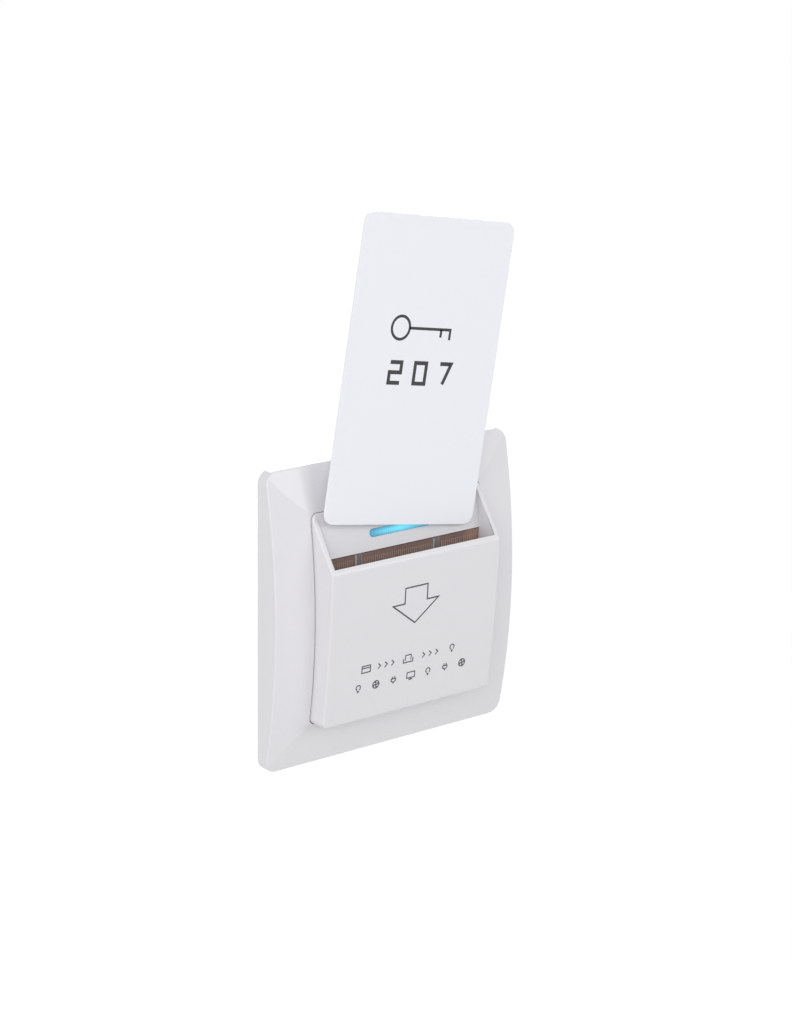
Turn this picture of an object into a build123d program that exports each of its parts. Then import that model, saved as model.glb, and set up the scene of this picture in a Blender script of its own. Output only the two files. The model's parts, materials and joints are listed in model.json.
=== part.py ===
from build123d import *
import os
from math import atan2, cos, radians, sin, sqrt

# Wall switch that feeds a hotel room with power while a guest card stands in its pocket.
# Millimetres. X runs right along the wall, Y into the wall and Z up, so the front looks to -Y.
# The origin lies on the wall plane, midway between the two wall screws.
# Depths are given as positive numbers in front of the wall plane unless a name says rear.

os.makedirs("parts", exist_ok=True)

# Driving dimensions: the face frame
plate_width = 86.0
plate_height = 86.0
plate_corner = 3.8
frame_wall = 1.9
side_crown_depth = 8.1
end_edge_depth = 3.3
rim_rise = 1.2
skirt_wall = 1.6

# Driving dimensions: the pocket module in the middle of the frame
module_height = 60.4
module_corner = 2.0
module_wall = 1.6
module_seam = 0.2
lip_depth = 16.7
lip_height = 15.0
chin_depth = 12.7
face_bulge = 0.65
cheek_top_depth = 7.3
shoulder_depth = 8.0
shoulder_drop = 1.9

# Driving dimensions: the pocket that takes the card
floor_edge_depth = 9.5
floor_edge_height = 17.2
mouth_gap = 6.2
pocket_toe_depth = 11.2

# Driving dimensions: the guest card
card_width = 53.98
card_height = 85.60
card_thickness = 0.76
card_corner = 3.18
card_plane_depth = 10.4
card_tilt = 9.5
card_rest_shift = -2.2
card_rest_height = 23.4
card_side_play = 1.61

# Driving dimensions: the carrier plate on the wall box
carrier_inset = 4.5
carrier_corner = 3.0
carrier_thickness = 2.0
wall_screw_inset = 12.85
wall_slot_width = 4.2
wall_slot_length = 7.0

# Driving dimensions: the housing behind the carrier plate
housing_height = 63.0
housing_corner = 2.5
housing_wall = 1.8
housing_rear = 19.2
terminal_bay_rear = 22.9
terminal_bay_top = -13.0

# Driving dimensions: the row of terminals, which sets the housing's width
terminal_count = 4
terminal_pitch = 8.4
terminal_end_play = 0.6
terminal_height = 11.0
boss_radius = 3.0
boss_gap = 1.1
boss_inset = 4.5
boss_end_inset = 6.5

# Driving dimensions: the two circuit boards
board_thickness = 1.6
reader_board_thickness = 1.0
reader_board_depth = 5.0
power_board_rear = 3.0

# Clearances and shared small values
overrun = 1.0
fit_clearance = 0.05
slip_clearance = 0.3
running_clearance = 0.08
soft_edge = 0.4

# Places that several pieces share
module_width = card_width + 2 * (card_side_play + module_wall)
bay_open_half_width = terminal_count * terminal_pitch / 2 + terminal_end_play
assembly_screw_x = bay_open_half_width + boss_gap + boss_radius
housing_width = 2 * (assembly_screw_x + boss_inset)
carrier_width = plate_width - 2 * carrier_inset
carrier_height = plate_height - 2 * carrier_inset
half_plate_width = plate_width / 2
half_plate_height = plate_height / 2
half_module_width = module_width / 2
half_module_height = module_height / 2
half_rim_width = half_module_width + module_seam
half_rim_height = half_module_height + module_seam
half_pocket_width = half_module_width - module_wall
half_pocket_height = half_module_height - module_wall
half_housing_width = housing_width / 2
half_housing_height = housing_height / 2
power_board_back = power_board_rear + board_thickness
wall_screw_reach = half_plate_width - wall_screw_inset
assembly_screw_z = half_housing_height - boss_end_inset
terminal_low = -half_housing_height
terminal_top = terminal_low + terminal_height


def front_plane(depth):
    """Plane parallel to the wall, seen from the front, at a depth in front of the wall."""
    return Plane.XZ.offset(depth)


# Face frame: a crowned pillow with a square window, moulded as a thin shell
crown_sagitta = side_crown_depth - end_edge_depth
crown_radius = (half_plate_height**2 + crown_sagitta**2) / (2 * crown_sagitta)


def crown_depth(height):
    """Depth of the frame's side edge at a height above the middle."""
    drop = crown_radius - sqrt(crown_radius**2 - height**2)
    return side_crown_depth - drop


def frame_form(half_width, half_height, corner, sink, back):
    """Pillow form, with its face sunk towards the wall and its back plane placed."""
    rim_end = crown_depth(half_rim_height) + rim_rise
    rim_middle = side_crown_depth + rim_rise
    bevel_run = half_plate_height - half_rim_height
    bevel_slope = (rim_end - end_edge_depth) / bevel_run
    side_slope = rim_rise / (half_plate_width - half_rim_width)
    reach_x = half_plate_width + overrun
    reach_z = half_plate_height + overrun
    side_sink = sink + side_slope * overrun
    ridge_rise = side_slope * reach_x

    with BuildPart() as side_form:
        with BuildSketch(Plane.YZ.offset(-reach_x)):
            with BuildLine():
                top = (side_sink - crown_depth(reach_z), reach_z)
                bottom = (side_sink - crown_depth(reach_z), -reach_z)
                ThreePointArc(top, (side_sink - side_crown_depth, 0), bottom)
                Polyline(
                    bottom,
                    (back + overrun + ridge_rise, -reach_z),
                    (back + overrun + ridge_rise, reach_z),
                    top,
                )
            make_face()
        slant = Vector(reach_x, -ridge_rise, 0)
        extrude(amount=slant.length, dir=slant.normalized())
        mirror(about=Plane.YZ)

    with BuildPart() as bevel_form:
        with BuildSketch(Plane.YZ):
            with BuildLine():
                upper = (sink - rim_end, half_rim_height)
                lower = (sink - rim_end, -half_rim_height)
                edge_depth = end_edge_depth - bevel_slope * overrun
                ThreePointArc(upper, (sink - rim_middle, 0), lower)
                Polyline(
                    lower,
                    (sink - edge_depth, -reach_z),
                    (back + overrun, -reach_z),
                    (back + overrun, reach_z),
                    (sink - edge_depth, reach_z),
                    upper,
                )
            make_face()
        extrude(amount=reach_x, both=True)

    with BuildPart() as form:
        with BuildSketch(front_plane(-back)):
            RectangleRounded(2 * half_width, 2 * half_height, corner)
        extrude(amount=back + lip_depth)
        add(bevel_form.part, mode=Mode.INTERSECT)
        add(side_form.part, mode=Mode.INTERSECT)
    return form.part


claw_place_share = 0.278
claw_spread = 18.0
claw_width = 5.0
claw_stem = 1.4
claw_tooth = 0.8
claw_tooth_depth = 0.9
claw_tip_depth = 0.2
claw_window_play = 0.3
skirt_depth = carrier_thickness + slip_clearance
screw_notch_radius = 4.6
screw_notch_depth = 6.4
skirt_reach = half_rim_height + skirt_wall
claw_room = half_plate_height - frame_wall - skirt_reach
claw_reach = skirt_reach + claw_room * claw_place_share

outer_form = frame_form(half_plate_width, half_plate_height, plate_corner, 0, 0)
inner_form = frame_form(
    half_plate_width - frame_wall,
    half_plate_height - frame_wall,
    plate_corner - frame_wall,
    frame_wall,
    overrun,
)

with BuildPart() as frame_hollow:
    add(inner_form)
    with BuildSketch(front_plane(skirt_depth)):
        RectangleRounded(
            2 * (half_rim_width + skirt_wall),
            2 * (half_rim_height + skirt_wall),
            module_corner + module_seam + skirt_wall,
        )
    extrude(amount=lip_depth, mode=Mode.SUBTRACT)

with BuildPart() as face_frame:
    add(outer_form)
    add(frame_hollow.part, mode=Mode.SUBTRACT)
    with BuildSketch(front_plane(-overrun)):
        RectangleRounded(
            2 * half_rim_width, 2 * half_rim_height, module_corner + module_seam
        )
    extrude(amount=overrun + lip_depth, mode=Mode.SUBTRACT)
    with BuildSketch(front_plane(-overrun)):
        with Locations((-wall_screw_reach, 0), (wall_screw_reach, 0)):
            Circle(screw_notch_radius)
    extrude(amount=overrun + screw_notch_depth - frame_wall / 2, mode=Mode.SUBTRACT)
    claw_root_depth = end_edge_depth + frame_wall / 2
    for side in (-1, 1):
        claw_plane = Plane.YZ.offset(side * claw_spread - claw_width / 2)
        with BuildSketch(claw_plane) as claw_face:
            with BuildLine():
                inner = claw_reach - claw_stem / 2
                outer = claw_reach + claw_stem / 2
                Polyline(
                    (-claw_root_depth, inner),
                    (-claw_tip_depth, inner),
                    (-claw_tip_depth, outer),
                    (-claw_tooth_depth, outer + claw_tooth),
                    (-claw_tooth_depth, outer),
                    (-claw_root_depth, outer),
                    (-claw_root_depth, inner),
                )
            make_face()
            mirror(about=Plane.XZ)
        extrude(amount=claw_width)

face_frame.part.label = "face_frame"
export_step(face_frame.part, "parts/face_frame.step")

# Pocket cover: cheeks, front wall, recess floor and rim walls in one moulding
cover_back_depth = carrier_thickness
floor_slope = (floor_edge_depth - cheek_top_depth) / (half_module_height - floor_edge_height)
floor_angle = atan2(floor_slope, 1)
floor_skin = module_wall / cos(floor_angle)
slant_slope = (lip_depth - shoulder_depth) / (half_module_height - shoulder_drop - lip_height)
mouth_depth = floor_edge_depth + mouth_gap
mouth_height = lip_height + (lip_depth - mouth_depth) / slant_slope
lip_round = 1.8
chin_round = 0.9
liner_front_depth = 9.3
liner_thickness = 1.2
liner_back_depth = liner_front_depth - liner_thickness
rail_width = 1.0
rail_thickness = 1.2
hook_spread = 13.0
hook_width = 6.0
hook_stem = 1.4
hook_tooth = 0.7
hook_tip_depth = 0.2
hook_tooth_depth = 0.9
light_bar_height = 21.9
light_bar_length = 22.0
light_bar_width = 2.3
light_bar_flange = 1.0
light_bar_flange_thickness = 0.4
light_bar_proud = 0.15


def floor_depth(height):
    """Depth of the recess floor's front surface at a height."""
    return cheek_top_depth + (half_module_height - height) * floor_slope


light_bar_plane = Plane(
    origin=(0, -floor_depth(light_bar_height), light_bar_height),
    x_dir=(1, 0, 0),
    z_dir=(0, -cos(floor_angle), sin(floor_angle)),
)

with BuildPart() as pocket_cover:
    with BuildSketch(Plane.YZ) as cheek_outline:
        with BuildLine():
            lip = (-lip_depth, lip_height)
            chin = (-chin_depth, -half_module_height)
            middle = (
                -(lip_depth + chin_depth) / 2 - face_bulge,
                (lip_height - half_module_height) / 2,
            )
            ThreePointArc(lip, middle, chin)
            Polyline(
                chin,
                (-cover_back_depth, -half_module_height),
                (-cover_back_depth, half_module_height),
                (-cheek_top_depth, half_module_height),
                (-shoulder_depth, half_module_height - shoulder_drop),
                lip,
            )
        make_face()
        fillet(cheek_outline.vertices().sort_by(Axis.X)[0], lip_round)
        fillet(
            cheek_outline.vertices().group_by(Axis.Y)[0].sort_by(Axis.X)[0],
            chin_round,
        )
    extrude(amount=half_module_width, both=True)
    with BuildSketch(front_plane(0)):
        RectangleRounded(module_width, module_height, module_corner)
    extrude(amount=2 * lip_depth, mode=Mode.INTERSECT)
    with BuildSketch(Plane.YZ):
        with BuildLine():
            above = half_module_height + overrun
            Polyline(
                (-floor_edge_depth, floor_edge_height),
                (-floor_depth(above), above),
                (-lip_depth - overrun, above),
                (-lip_depth - overrun, mouth_height),
                (-mouth_depth, mouth_height),
                (-pocket_toe_depth, -half_pocket_height),
                (-cover_back_depth + overrun, -half_pocket_height),
                (-cover_back_depth + overrun, half_pocket_height),
                (-floor_depth(half_pocket_height) + floor_skin, half_pocket_height),
                (-floor_edge_depth + floor_skin, floor_edge_height),
                (-floor_edge_depth, floor_edge_height),
            )
        make_face()
    extrude(amount=half_pocket_width, both=True, mode=Mode.SUBTRACT)
    with BuildSketch(front_plane(cover_back_depth - overrun)):
        with Locations((-wall_screw_reach, 0), (wall_screw_reach, 0)):
            Circle(screw_notch_radius)
    extrude(amount=overrun + screw_notch_depth - cover_back_depth, mode=Mode.SUBTRACT)
    rail_length = floor_edge_height + half_pocket_height - overrun
    with BuildSketch(front_plane(liner_back_depth - rail_thickness)):
        for side in (-1, 1):
            with Locations(
                (side * (half_pocket_width - rail_width / 2), rail_length / 2 - half_pocket_height)
            ):
                Rectangle(rail_width, rail_length)
    extrude(amount=rail_thickness)
    with BuildSketch(light_bar_plane.offset(-module_wall - overrun)):
        SlotOverall(
            light_bar_length + 2 * fit_clearance, light_bar_width + 2 * fit_clearance
        )
    extrude(amount=module_wall + 2 * overrun, mode=Mode.SUBTRACT)
    for side in (-1, 1):
        with BuildSketch(Plane.YZ.offset(side * hook_spread - hook_width / 2)):
            with BuildLine():
                outer = half_module_height - (module_wall - hook_stem)
                inner = half_pocket_height
                Polyline(
                    (-cover_back_depth - overrun, inner),
                    (-hook_tooth_depth, inner),
                    (-hook_tooth_depth, inner - hook_tooth),
                    (-hook_tip_depth, inner),
                    (-hook_tip_depth, outer),
                    (-cover_back_depth - overrun, outer),
                    (-cover_back_depth - overrun, inner),
                )
            make_face()
            mirror(about=Plane.XZ)
        extrude(amount=hook_width)

pocket_cover.part.label = "pocket_cover"
export_step(pocket_cover.part, "parts/pocket_cover.step")

# Light bar: clear stadium lens pressed into the recess floor, with a flange behind it
with BuildPart() as light_bar:
    with BuildSketch(light_bar_plane.offset(-module_wall)):
        SlotOverall(light_bar_length, light_bar_width)
    extrude(amount=module_wall + light_bar_proud)
    with BuildSketch(light_bar_plane.offset(-module_wall)):
        SlotOverall(
            light_bar_length + 2 * light_bar_flange, light_bar_width + 2 * light_bar_flange
        )
    extrude(amount=-light_bar_flange_thickness)

light_bar.part.label = "light_bar"
export_step(light_bar.part, "parts/light_bar.step")

# Slot liner: smoked back wall of the pocket, with the ledge that the card stands on
guide_width = 2.2
guide_proud = 0.4
guide_seat = 0.5
guide_places = (-15.5, 12.5)
ledge_thickness = 1.3
card_seat_height = slip_clearance + ledge_thickness - half_pocket_height
half_liner_width = half_pocket_width - slip_clearance
liner_top = floor_edge_height - slip_clearance
ledge_front_depth = pocket_toe_depth - slip_clearance / 2

with BuildPart() as slot_liner:
    with BuildSketch(Plane.YZ):
        with BuildLine():
            Polyline(
                (-liner_back_depth, liner_top),
                (-liner_front_depth, liner_top),
                (-liner_front_depth, card_seat_height),
                (-ledge_front_depth, card_seat_height),
                (-ledge_front_depth, card_seat_height - ledge_thickness),
                (-liner_back_depth, card_seat_height - ledge_thickness),
                (-liner_back_depth, liner_top),
            )
        make_face()
    extrude(amount=half_liner_width, both=True)
    guide_length = liner_top - card_seat_height
    guide_middle = (liner_top + card_seat_height) / 2
    with BuildSketch(front_plane(liner_front_depth - guide_seat)):
        for place in guide_places:
            with Locations((place, guide_middle)):
                Rectangle(guide_width + 2 * fit_clearance, guide_length + 2 * overrun)
    extrude(amount=guide_seat + overrun, mode=Mode.SUBTRACT)

slot_liner.part.label = "slot_liner"
export_step(slot_liner.part, "parts/slot_liner.step")

# Card guides: two clear strips let into the liner, which hold the card off it
with BuildPart() as card_guides:
    with BuildSketch(front_plane(liner_front_depth - guide_seat)):
        for place in guide_places:
            with Locations((place, guide_middle)):
                Rectangle(guide_width, guide_length)
    extrude(amount=guide_seat + guide_proud)
    chamfer(
        card_guides.edges().group_by(Axis.Z)[-1].sort_by(Axis.Y)[:2],
        guide_proud / 2,
    )

card_guides.part.label = "card_guides"
export_step(card_guides.part, "parts/card_guides.step")

# Carrier plate: screwed to the wall box; the cover and the frame snap into it
reader_board_side_gap = 1.6
reader_board_end_gap = 0.6
board_peg_inset = 1.4
carrier_window_inset = 2.1
carrier_window_height = 44.0
carrier_window_corner = 3.0
claw_window_back = 1.1
assembly_screw_radius = 1.3
assembly_head_radius = 2.5
assembly_head_height = 1.4
spacer_side = 5.2
reader_board_width = 2 * (half_pocket_width - reader_board_side_gap)
reader_board_height = 2 * (half_pocket_height - reader_board_end_gap)
board_peg_x = reader_board_width / 2 - board_peg_inset
carrier_window_width = 2 * (board_peg_x - carrier_window_inset)
board_peg_z = 20.0
board_peg_side = 3.6
board_screw_radius = 0.9
board_screw_head_radius = 1.7
board_screw_head_height = 1.2
stiffener_width = 1.2
stiffener_height = 0.8
stiffener_length = 26.0
stiffener_inset = 3.9
stiffener_reach = carrier_width / 2 - stiffener_inset
assembly_places = [
    (x, z)
    for x in (-assembly_screw_x, assembly_screw_x)
    for z in (-assembly_screw_z, assembly_screw_z)
]
board_peg_places = [
    (x, z) for x in (-board_peg_x, board_peg_x) for z in (-board_peg_z, board_peg_z)
]

with BuildPart() as carrier_plate:
    with BuildSketch(front_plane(0)):
        RectangleRounded(carrier_width, carrier_height, carrier_corner)
        RectangleRounded(
            carrier_window_width,
            carrier_window_height,
            carrier_window_corner,
            mode=Mode.SUBTRACT,
        )
        with Locations((-wall_screw_reach, 0), (wall_screw_reach, 0)):
            SlotOverall(wall_slot_length, wall_slot_width, mode=Mode.SUBTRACT)
    extrude(amount=carrier_thickness)
    claw_window_low = claw_reach - claw_stem / 2 - claw_window_play
    claw_window_high = claw_reach + claw_stem / 2 + claw_window_play / 2
    claw_pocket_high = claw_reach + claw_stem / 2 + claw_tooth + claw_window_play
    hook_window_high = half_module_height + claw_window_play
    hook_window_low = half_pocket_height - claw_window_play / 2
    hook_pocket_low = half_pocket_height - hook_tooth - claw_window_play
    for end in (-1, 1):
        for side in (-1, 1):
            with BuildSketch(front_plane(-overrun)):
                with Locations(
                    (side * claw_spread, end * (claw_window_low + claw_window_high) / 2)
                ):
                    Rectangle(
                        claw_width + 2 * claw_window_play, claw_window_high - claw_window_low
                    )
                with Locations(
                    (side * hook_spread, end * (hook_window_low + hook_window_high) / 2)
                ):
                    Rectangle(
                        hook_width + 2 * claw_window_play, hook_window_high - hook_window_low
                    )
            extrude(amount=carrier_thickness + 2 * overrun, mode=Mode.SUBTRACT)
            with BuildSketch(front_plane(-overrun)):
                with Locations(
                    (side * claw_spread, end * (claw_window_low + claw_pocket_high) / 2)
                ):
                    Rectangle(
                        claw_width + 2 * claw_window_play, claw_pocket_high - claw_window_low
                    )
                with Locations(
                    (side * hook_spread, end * (hook_pocket_low + hook_window_high) / 2)
                ):
                    Rectangle(
                        hook_width + 2 * claw_window_play, hook_window_high - hook_pocket_low
                    )
            extrude(amount=overrun + claw_window_back, mode=Mode.SUBTRACT)
    with BuildSketch(front_plane(-power_board_rear)):
        with Locations(*assembly_places):
            Rectangle(spacer_side, spacer_side)
    extrude(amount=power_board_rear)
    with BuildSketch(front_plane(carrier_thickness)):
        with Locations(*board_peg_places):
            Rectangle(board_peg_side, board_peg_side)
    extrude(amount=reader_board_depth - reader_board_thickness - carrier_thickness)
    with BuildSketch(front_plane(carrier_thickness)):
        with Locations((-stiffener_reach, 0), (stiffener_reach, 0)):
            Rectangle(stiffener_width, stiffener_length)
    extrude(amount=stiffener_height)
    with BuildSketch(front_plane(-power_board_rear - overrun)):
        with Locations(*assembly_places):
            Circle(assembly_screw_radius + slip_clearance)
    extrude(
        amount=power_board_rear + carrier_thickness + 2 * overrun, mode=Mode.SUBTRACT
    )
    with BuildSketch(front_plane(0)):
        with Locations(*board_peg_places):
            Circle(board_screw_radius + fit_clearance)
    extrude(amount=reader_board_depth, mode=Mode.SUBTRACT)

carrier_plate.part.label = "carrier_plate"
export_step(carrier_plate.part, "parts/carrier_plate.step")

# Rear housing: stepped box behind the carrier, with bosses for the four assembly screws
terminal_rear_step = 0.5
pilot_depth = 6.0
vent_count = 5
vent_pitch = 4.5
vent_width = 1.6
vent_length = 14.0
vent_height = 16.0
half_bay_opening = bay_open_half_width + slip_clearance / 2
bay_opening_top = terminal_top + slip_clearance / 2
back_edge_chamfer = 1.2

with BuildPart() as rear_housing:
    with BuildSketch(Plane.YZ) as housing_outline:
        with BuildLine():
            Polyline(
                (0, -half_housing_height),
                (terminal_bay_rear, -half_housing_height),
                (terminal_bay_rear, terminal_bay_top),
                (housing_rear, terminal_bay_top),
                (housing_rear, half_housing_height),
                (0, half_housing_height),
                (0, -half_housing_height),
            )
        make_face()
    extrude(amount=half_housing_width, both=True)
    with BuildSketch(front_plane(0)):
        RectangleRounded(housing_width, housing_height, housing_corner)
    extrude(amount=-terminal_bay_rear - overrun, mode=Mode.INTERSECT)
    back_edges = rear_housing.edges().group_by(Axis.Y)[-1].filter_by(GeomType.LINE)
    chamfer(back_edges, back_edge_chamfer)
    with BuildSketch(Plane.YZ):
        with BuildLine():
            inner_height = half_housing_height - housing_wall
            Polyline(
                (-overrun, -inner_height),
                (terminal_bay_rear - housing_wall, -inner_height),
                (terminal_bay_rear - housing_wall, terminal_bay_top - housing_wall),
                (housing_rear - housing_wall, terminal_bay_top - housing_wall),
                (housing_rear - housing_wall, inner_height),
                (-overrun, inner_height),
                (-overrun, -inner_height),
            )
        make_face()
    extrude(amount=half_housing_width - housing_wall, both=True, mode=Mode.SUBTRACT)
    for side in (-1, 1):
        for end, boss_rear in ((1, housing_rear), (-1, terminal_bay_rear)):
            with BuildSketch(front_plane(-power_board_back)):
                with Locations((side * assembly_screw_x, end * assembly_screw_z)):
                    Circle(boss_radius)
            extrude(amount=power_board_back - boss_rear + housing_wall / 2)
    with BuildSketch(front_plane(overrun)):
        with Locations(*assembly_places):
            Circle(assembly_screw_radius + fit_clearance)
    extrude(amount=-overrun - power_board_back - pilot_depth, mode=Mode.SUBTRACT)
    bay_opening_middle = (bay_opening_top - half_housing_height - overrun) / 2
    bay_opening_height = bay_opening_top + half_housing_height + overrun
    with BuildSketch(front_plane(-power_board_back)):
        with Locations((0, bay_opening_middle)):
            Rectangle(2 * half_bay_opening, bay_opening_height)
    extrude(amount=-terminal_bay_rear, mode=Mode.SUBTRACT)
    with BuildSketch(front_plane(-housing_rear - overrun)):
        with Locations((0, vent_height)):
            with GridLocations(vent_pitch, 0, vent_count, 1):
                Rectangle(vent_width, vent_length)
    extrude(amount=housing_wall + 2 * overrun, mode=Mode.SUBTRACT)

rear_housing.part.label = "rear_housing"
export_step(rear_housing.part, "parts/rear_housing.step")

# Assembly screws: four, through carrier and power board into the housing's bosses
screw_recess_depth = 0.8
screw_recess_width = 0.6
screw_recess_length = 2.6

with BuildPart() as assembly_screws:
    with BuildSketch(front_plane(carrier_thickness)):
        with Locations(*assembly_places):
            Circle(assembly_head_radius)
    extrude(amount=assembly_head_height)
    with BuildSketch(front_plane(carrier_thickness)):
        with Locations(*assembly_places):
            Circle(assembly_screw_radius)
    extrude(amount=-carrier_thickness - power_board_back - pilot_depth + overrun)
    with BuildSketch(front_plane(carrier_thickness + assembly_head_height)):
        with Locations(*assembly_places):
            Rectangle(screw_recess_length, screw_recess_width)
    extrude(amount=-screw_recess_depth, mode=Mode.SUBTRACT)

assembly_screws.part.label = "assembly_screws"
export_step(assembly_screws.part, "parts/assembly_screws.step")

# Reader board: stands on four pegs of the carrier, close behind the pocket
board_hole_play = 0.1
link_pin_count = 6
link_pin_pitch = 2.54
link_above_terminals = 8.5
link_height = terminal_top + link_above_terminals
link_pin_size = 0.64
link_hole_size = link_pin_size + 2 * fit_clearance
reader_board_back_depth = reader_board_depth - reader_board_thickness

with BuildPart() as reader_board:
    with BuildSketch(front_plane(reader_board_back_depth)):
        Rectangle(reader_board_width, reader_board_height)
        with Locations((-wall_screw_reach, 0), (wall_screw_reach, 0)):
            Circle(screw_notch_radius, mode=Mode.SUBTRACT)
        with Locations(*board_peg_places):
            Circle(board_screw_radius + board_hole_play, mode=Mode.SUBTRACT)
        with Locations((0, link_height)):
            with GridLocations(link_pin_pitch, 0, link_pin_count, 1):
                Rectangle(link_hole_size, link_hole_size, mode=Mode.SUBTRACT)
    extrude(amount=reader_board_thickness)

reader_board.part.label = "reader_board"
export_step(reader_board.part, "parts/reader_board.step")

# Board screws: four small pan heads that hold the reader board on its pegs
with BuildPart() as board_screws:
    with BuildSketch(front_plane(reader_board_depth)):
        with Locations(*board_peg_places):
            Circle(board_screw_head_radius)
    extrude(amount=board_screw_head_height)
    with BuildSketch(front_plane(reader_board_depth)):
        with Locations(*board_peg_places):
            Circle(board_screw_radius)
    extrude(amount=-reader_board_depth + soft_edge)

board_screws.part.label = "board_screws"
export_step(board_screws.part, "parts/board_screws.step")

# Antenna: flat square spiral of copper on the front of the reader board
antenna_width = 44.0
antenna_height = 36.0
antenna_middle = -4.0
antenna_turns = 5
antenna_pitch = 1.3
antenna_track = 0.7
antenna_copper = 0.1


def square_spiral(width, height, turns, pitch):
    """Corners of a flat spiral that starts at its outer upper left corner."""
    corners = []
    for turn in range(turns):
        right = width / 2 - turn * pitch
        upper = height / 2 - turn * pitch
        inset = pitch if turn else 0
        corners.append((-right - inset, upper))
        corners.append((right, upper))
        corners.append((right, -upper))
        corners.append((-right, -upper))
    return corners


with BuildPart() as antenna_coil:
    antenna_plane = Plane(
        origin=(0, -reader_board_depth, antenna_middle), x_dir=(1, 0, 0), z_dir=(0, -1, 0)
    )
    with BuildSketch(antenna_plane):
        with BuildLine():
            Polyline(*square_spiral(antenna_width, antenna_height, antenna_turns, antenna_pitch))
        trace(line_width=antenna_track)
    extrude(amount=antenna_copper)

antenna_coil.part.label = "antenna_coil"
export_step(antenna_coil.part, "parts/antenna_coil.step")

# Indicator lamps: two surface lamps on the reader board behind the light bar
lamp_width = 3.5
lamp_length = 2.8
lamp_height = 1.2
lamp_spread = 5.5
lamp_lens_radius = 1.0
lamp_lens_dip = 0.3

with BuildPart() as indicator_lamps:
    with BuildSketch(front_plane(reader_board_depth)):
        with Locations((0, light_bar_height)):
            with GridLocations(2 * lamp_spread, 0, 2, 1):
                Rectangle(lamp_width, lamp_length)
    extrude(amount=lamp_height)
    with BuildSketch(front_plane(reader_board_depth + lamp_height)):
        with Locations((0, light_bar_height)):
            with GridLocations(2 * lamp_spread, 0, 2, 1):
                Circle(lamp_lens_radius)
    extrude(amount=-lamp_lens_dip, mode=Mode.SUBTRACT)

indicator_lamps.part.label = "indicator_lamps"
export_step(indicator_lamps.part, "parts/indicator_lamps.step")

# Chips on the back of the reader board: the radio reader and the controller
chip_height = 1.5
chip_standoff = 0.1
chip_leg_pitch = 1.27
chip_leg_width = 0.45
chip_leg_thickness = 0.2
chip_leg_reach = 1.0
chip_leg_rise = 0.7
chip_leg_count = 6
chip_draft = 4
chip_body_width = 3.9
chip_body_length = 9.0
chip_places = ((-12.0, 8.0), (10.0, 8.0))
chip_back = -reader_board_back_depth

with BuildPart() as chip_bodies:
    with BuildSketch(front_plane(-chip_back - chip_standoff)):
        with Locations(*chip_places):
            Rectangle(chip_body_width, chip_body_length)
    extrude(amount=-chip_height, taper=chip_draft)

chip_bodies.part.label = "chip_bodies"
export_step(chip_bodies.part, "parts/chip_bodies.step")

with BuildPart() as chip_legs:
    leg_root = chip_body_width / 2
    for place_x, place_z in chip_places:
        for leg in range(chip_leg_count):
            leg_z = place_z + (leg - (chip_leg_count - 1) / 2) * chip_leg_pitch
            with BuildSketch(Plane.XY.offset(leg_z - chip_leg_width / 2)):
                for side in (-1, 1):
                    with BuildLine():
                        Polyline(
                            (place_x + side * leg_root, chip_back + chip_leg_rise),
                            (
                                place_x + side * (leg_root + chip_leg_reach / 2),
                                chip_back + chip_leg_rise,
                            ),
                            (place_x + side * (leg_root + chip_leg_reach / 2), chip_back),
                            (place_x + side * (leg_root + chip_leg_reach), chip_back),
                            (
                                place_x + side * (leg_root + chip_leg_reach),
                                chip_back + chip_leg_thickness,
                            ),
                            (
                                place_x + side * (leg_root + chip_leg_reach / 2 + chip_leg_thickness),
                                chip_back + chip_leg_thickness,
                            ),
                            (
                                place_x + side * (leg_root + chip_leg_reach / 2 + chip_leg_thickness),
                                chip_back + chip_leg_rise + chip_leg_thickness,
                            ),
                            (
                                place_x + side * leg_root,
                                chip_back + chip_leg_rise + chip_leg_thickness,
                            ),
                            (place_x + side * leg_root, chip_back + chip_leg_rise),
                        )
                    make_face()
            extrude(amount=chip_leg_width)

chip_legs.part.label = "chip_legs"
export_step(chip_legs.part, "parts/chip_legs.step")

# Clock crystal in its oval can, on the back of the reader board
crystal_length = 10.5
crystal_width = 4.0
crystal_height = 3.2
crystal_place = (0.0, 14.0)

with BuildPart() as clock_crystal:
    with BuildSketch(front_plane(reader_board_back_depth)):
        with Locations(crystal_place):
            SlotOverall(crystal_length, crystal_width)
    extrude(amount=-crystal_height)

clock_crystal.part.label = "clock_crystal"
export_step(clock_crystal.part, "parts/clock_crystal.step")

# Board link: pin row with its spacer on the reader board and its socket on the power board
link_body_width = 2.5
link_body_length = link_pin_count * link_pin_pitch
link_split = 1.2
link_pin_front = 0.8
link_pin_back = 1.4

with BuildPart() as link_spacer:
    with BuildSketch(front_plane(reader_board_back_depth)):
        with Locations((0, link_height)):
            Rectangle(link_body_length, link_body_width)
            with GridLocations(link_pin_pitch, 0, link_pin_count, 1):
                Rectangle(link_hole_size, link_hole_size, mode=Mode.SUBTRACT)
    extrude(amount=link_split - reader_board_back_depth)

link_spacer.part.label = "link_spacer"
export_step(link_spacer.part, "parts/link_spacer.step")

with BuildPart() as link_socket:
    with BuildSketch(front_plane(link_split)):
        with Locations((0, link_height)):
            Rectangle(link_body_length, link_body_width)
            with GridLocations(link_pin_pitch, 0, link_pin_count, 1):
                Rectangle(link_hole_size, link_hole_size, mode=Mode.SUBTRACT)
    extrude(amount=-link_split - power_board_rear)

link_socket.part.label = "link_socket"
export_step(link_socket.part, "parts/link_socket.step")

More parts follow.
